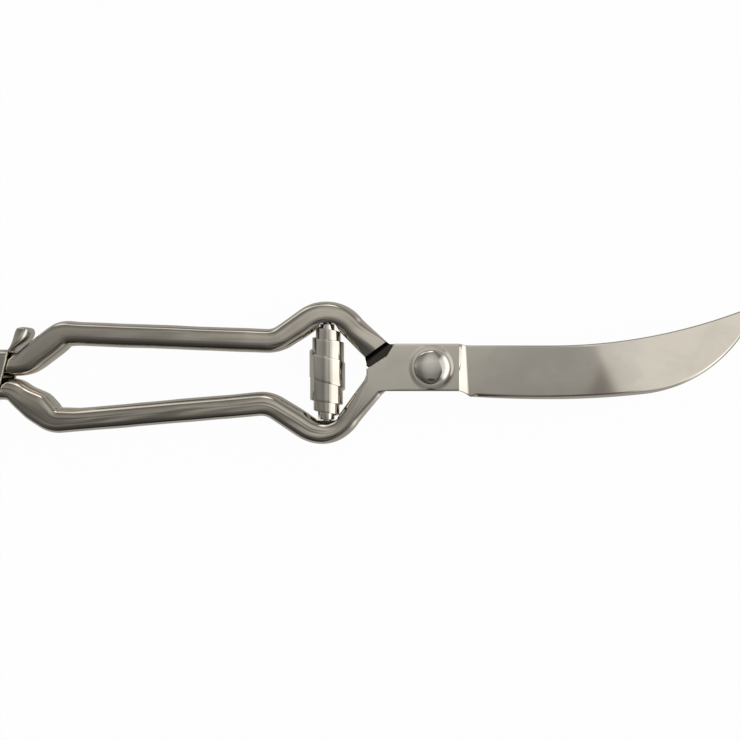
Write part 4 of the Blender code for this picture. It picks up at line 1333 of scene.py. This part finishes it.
def build_tent(scene, stage):
    """Surroundings as a soft tent.

    A direction is read as slopes u = x / z and v = y / z.  Brightness follows u, darker
    towards the tails.  A large bright side starts beyond u = 0.325 - 0.43 v and fades
    where y / x grows, with a dark wedge in front of its lower part and a small dark
    opening on the near side.  The near side is dark, and the far side carries a
    narrow bright strip low down.
    """
    world = bpy.data.worlds.new("light_tent")
    scene.world = world
    world.use_nodes = True
    tree = world.node_tree
    tree.nodes.clear()
    way = add_node(tree, "ShaderNodeSeparateXYZ", {
        0: add_node(tree, "ShaderNodeTexCoord").outputs["Generated"]})
    up = math_node(tree, "MAXIMUM", way.outputs[2], LOWEST_SLOPE)
    u = math_node(tree, "DIVIDE", way.outputs[0], up)
    full_v = math_node(tree, "DIVIDE", way.outputs[1], up)
    v = add_node(tree, "ShaderNodeClamp", {0: full_v, 1: -V_LIMIT, 2: V_LIMIT}).outputs[0]
    half_u = add_node(tree, "ShaderNodeMapRange", {0: u, 1: -1.0, 2: 1.0}).outputs[0]
    overhead = ramp(tree, half_u, OVERHEAD, "LINEAR")
    lift = math_node(tree, "MULTIPLY_ADD", v, 2.5)
    lift.node.inputs[2].default_value = 1.0
    slant = math_node(tree, "ADD", u, math_node(tree, "MULTIPLY", v, BRIGHT_SLANT))
    bright = span_value(tree, slant, *BRIGHT_EDGE)
    wedge = span_value(tree, math_node(tree, "SUBTRACT", u, math_node(
        tree, "MULTIPLY", v, WEDGE_SLANT)), *WEDGE_EDGE)
    card = ramp(tree, half_u, CARD, "LINEAR")
    aside = math_node(tree, "ABSOLUTE", math_node(
        tree, "DIVIDE", way.outputs[1], math_node(tree, "MAXIMUM", way.outputs[0], 0.02)))
    card = mix_colour(
        tree, span_value(tree, aside, *CARD_FADE), card, tinted(tree, card, CARD_REST))
    half_y = math_node(tree, "MULTIPLY_ADD", way.outputs[1], 0.5)
    half_y.node.inputs[2].default_value = 0.5
    soft = tinted(tree, tinted(tree, overhead, ramp(tree, half_y, SIDES, "LINEAR")), lift)
    soft = mix_colour(tree, wedge, soft, tinted(tree, soft, WEDGE_TINT))
    all_round = mix_colour(tree, bright, soft, card)
    opening = math_node(tree, "ADD", squared_from(tree, u, OPENING_AT[0]),
                        squared_from(tree, full_v, OPENING_AT[1]))
    all_round = mix_colour(
        tree, span_value(tree, opening, *OPENING_EDGE), OPENING_TONE, all_round)
    light = add_node(tree, "ShaderNodeBackground", {
        "Color": all_round, "Strength": stage.tent_strength})
    plain = add_node(tree, "ShaderNodeBackground", {"Color": (1, 1, 1, 1), "Strength": 1.0})
    seen = add_node(tree, "ShaderNodeLightPath").outputs["Is Camera Ray"]
    mix = add_node(tree, "ShaderNodeMixShader", {0: seen, 1: light.outputs[0],
                                                 2: plain.outputs[0]})
    add_node(tree, "ShaderNodeOutputWorld", {0: mix.outputs[0]})


CAMERA_PLACE = (-0.01936, -0.0008)
SENSOR_WIDTH = 36.0
VIEW_WIDTH = 0.2368       # metres across the frame at the lap plane


def build_camera(scene, stage):
    """Camera straight above the handles' pivot end, top of the frame towards +Y.  The lens
    is the sensor's width times the camera's height over the view's width."""
    data = bpy.data.cameras.new("camera")
    data.sensor_width = SENSOR_WIDTH
    data.lens = SENSOR_WIDTH * stage.camera_height / VIEW_WIDTH
    data.clip_start = 0.01
    camera = bpy.data.objects.new("camera", data)
    camera.location = (*CAMERA_PLACE, LAP_HEIGHT * MM + stage.camera_height)
    scene.collection.objects.link(camera)
    scene.camera = camera


class SHEARS_PT_panel(bpy.types.Panel):
    """Sidebar panel with the sizes, the finishes and the building steps"""

    bl_idname = "SHEARS_PT_panel"
    bl_label = "Poultry shears"
    bl_space_type = "VIEW_3D"
    bl_region_type = "UI"
    bl_category = "Shears"

    def draw(self, context):
        for group in (context.scene.shears_shape, context.scene.shears_finish,
                      context.scene.shears_stage):
            box = self.layout.box()
            for key in group.__annotations__:
                box.prop(group, key)
        for operator in OPERATORS:
            self.layout.operator(operator.bl_idname)


GROUPS = {
    "shears_shape": ShearsShape,
    "shears_finish": ShearsFinish,
    "shears_stage": ShearsStage,
}
OPERATORS = (
    SHEARS_OT_forgings, SHEARS_OT_pivot, SHEARS_OT_spring, SHEARS_OT_latch, SHEARS_OT_stage,
)


def register():
    for key, group in GROUPS.items():
        bpy.utils.register_class(group)
        setattr(bpy.types.Scene, key, bpy.props.PointerProperty(type=group))
    for kind in OPERATORS + (SHEARS_PT_panel,):
        bpy.utils.register_class(kind)


def unregister():
    for kind in (SHEARS_PT_panel,) + OPERATORS[::-1]:
        bpy.utils.unregister_class(kind)
    for key, group in reversed(GROUPS.items()):
        delattr(bpy.types.Scene, key)
        bpy.utils.unregister_class(group)


def main():
    register()
    bpy.ops.shears.forgings()
    bpy.ops.shears.pivot()
    bpy.ops.shears.spring()
    bpy.ops.shears.latch()
    bpy.ops.shears.stage()


if __name__ == "__main__":
    main()
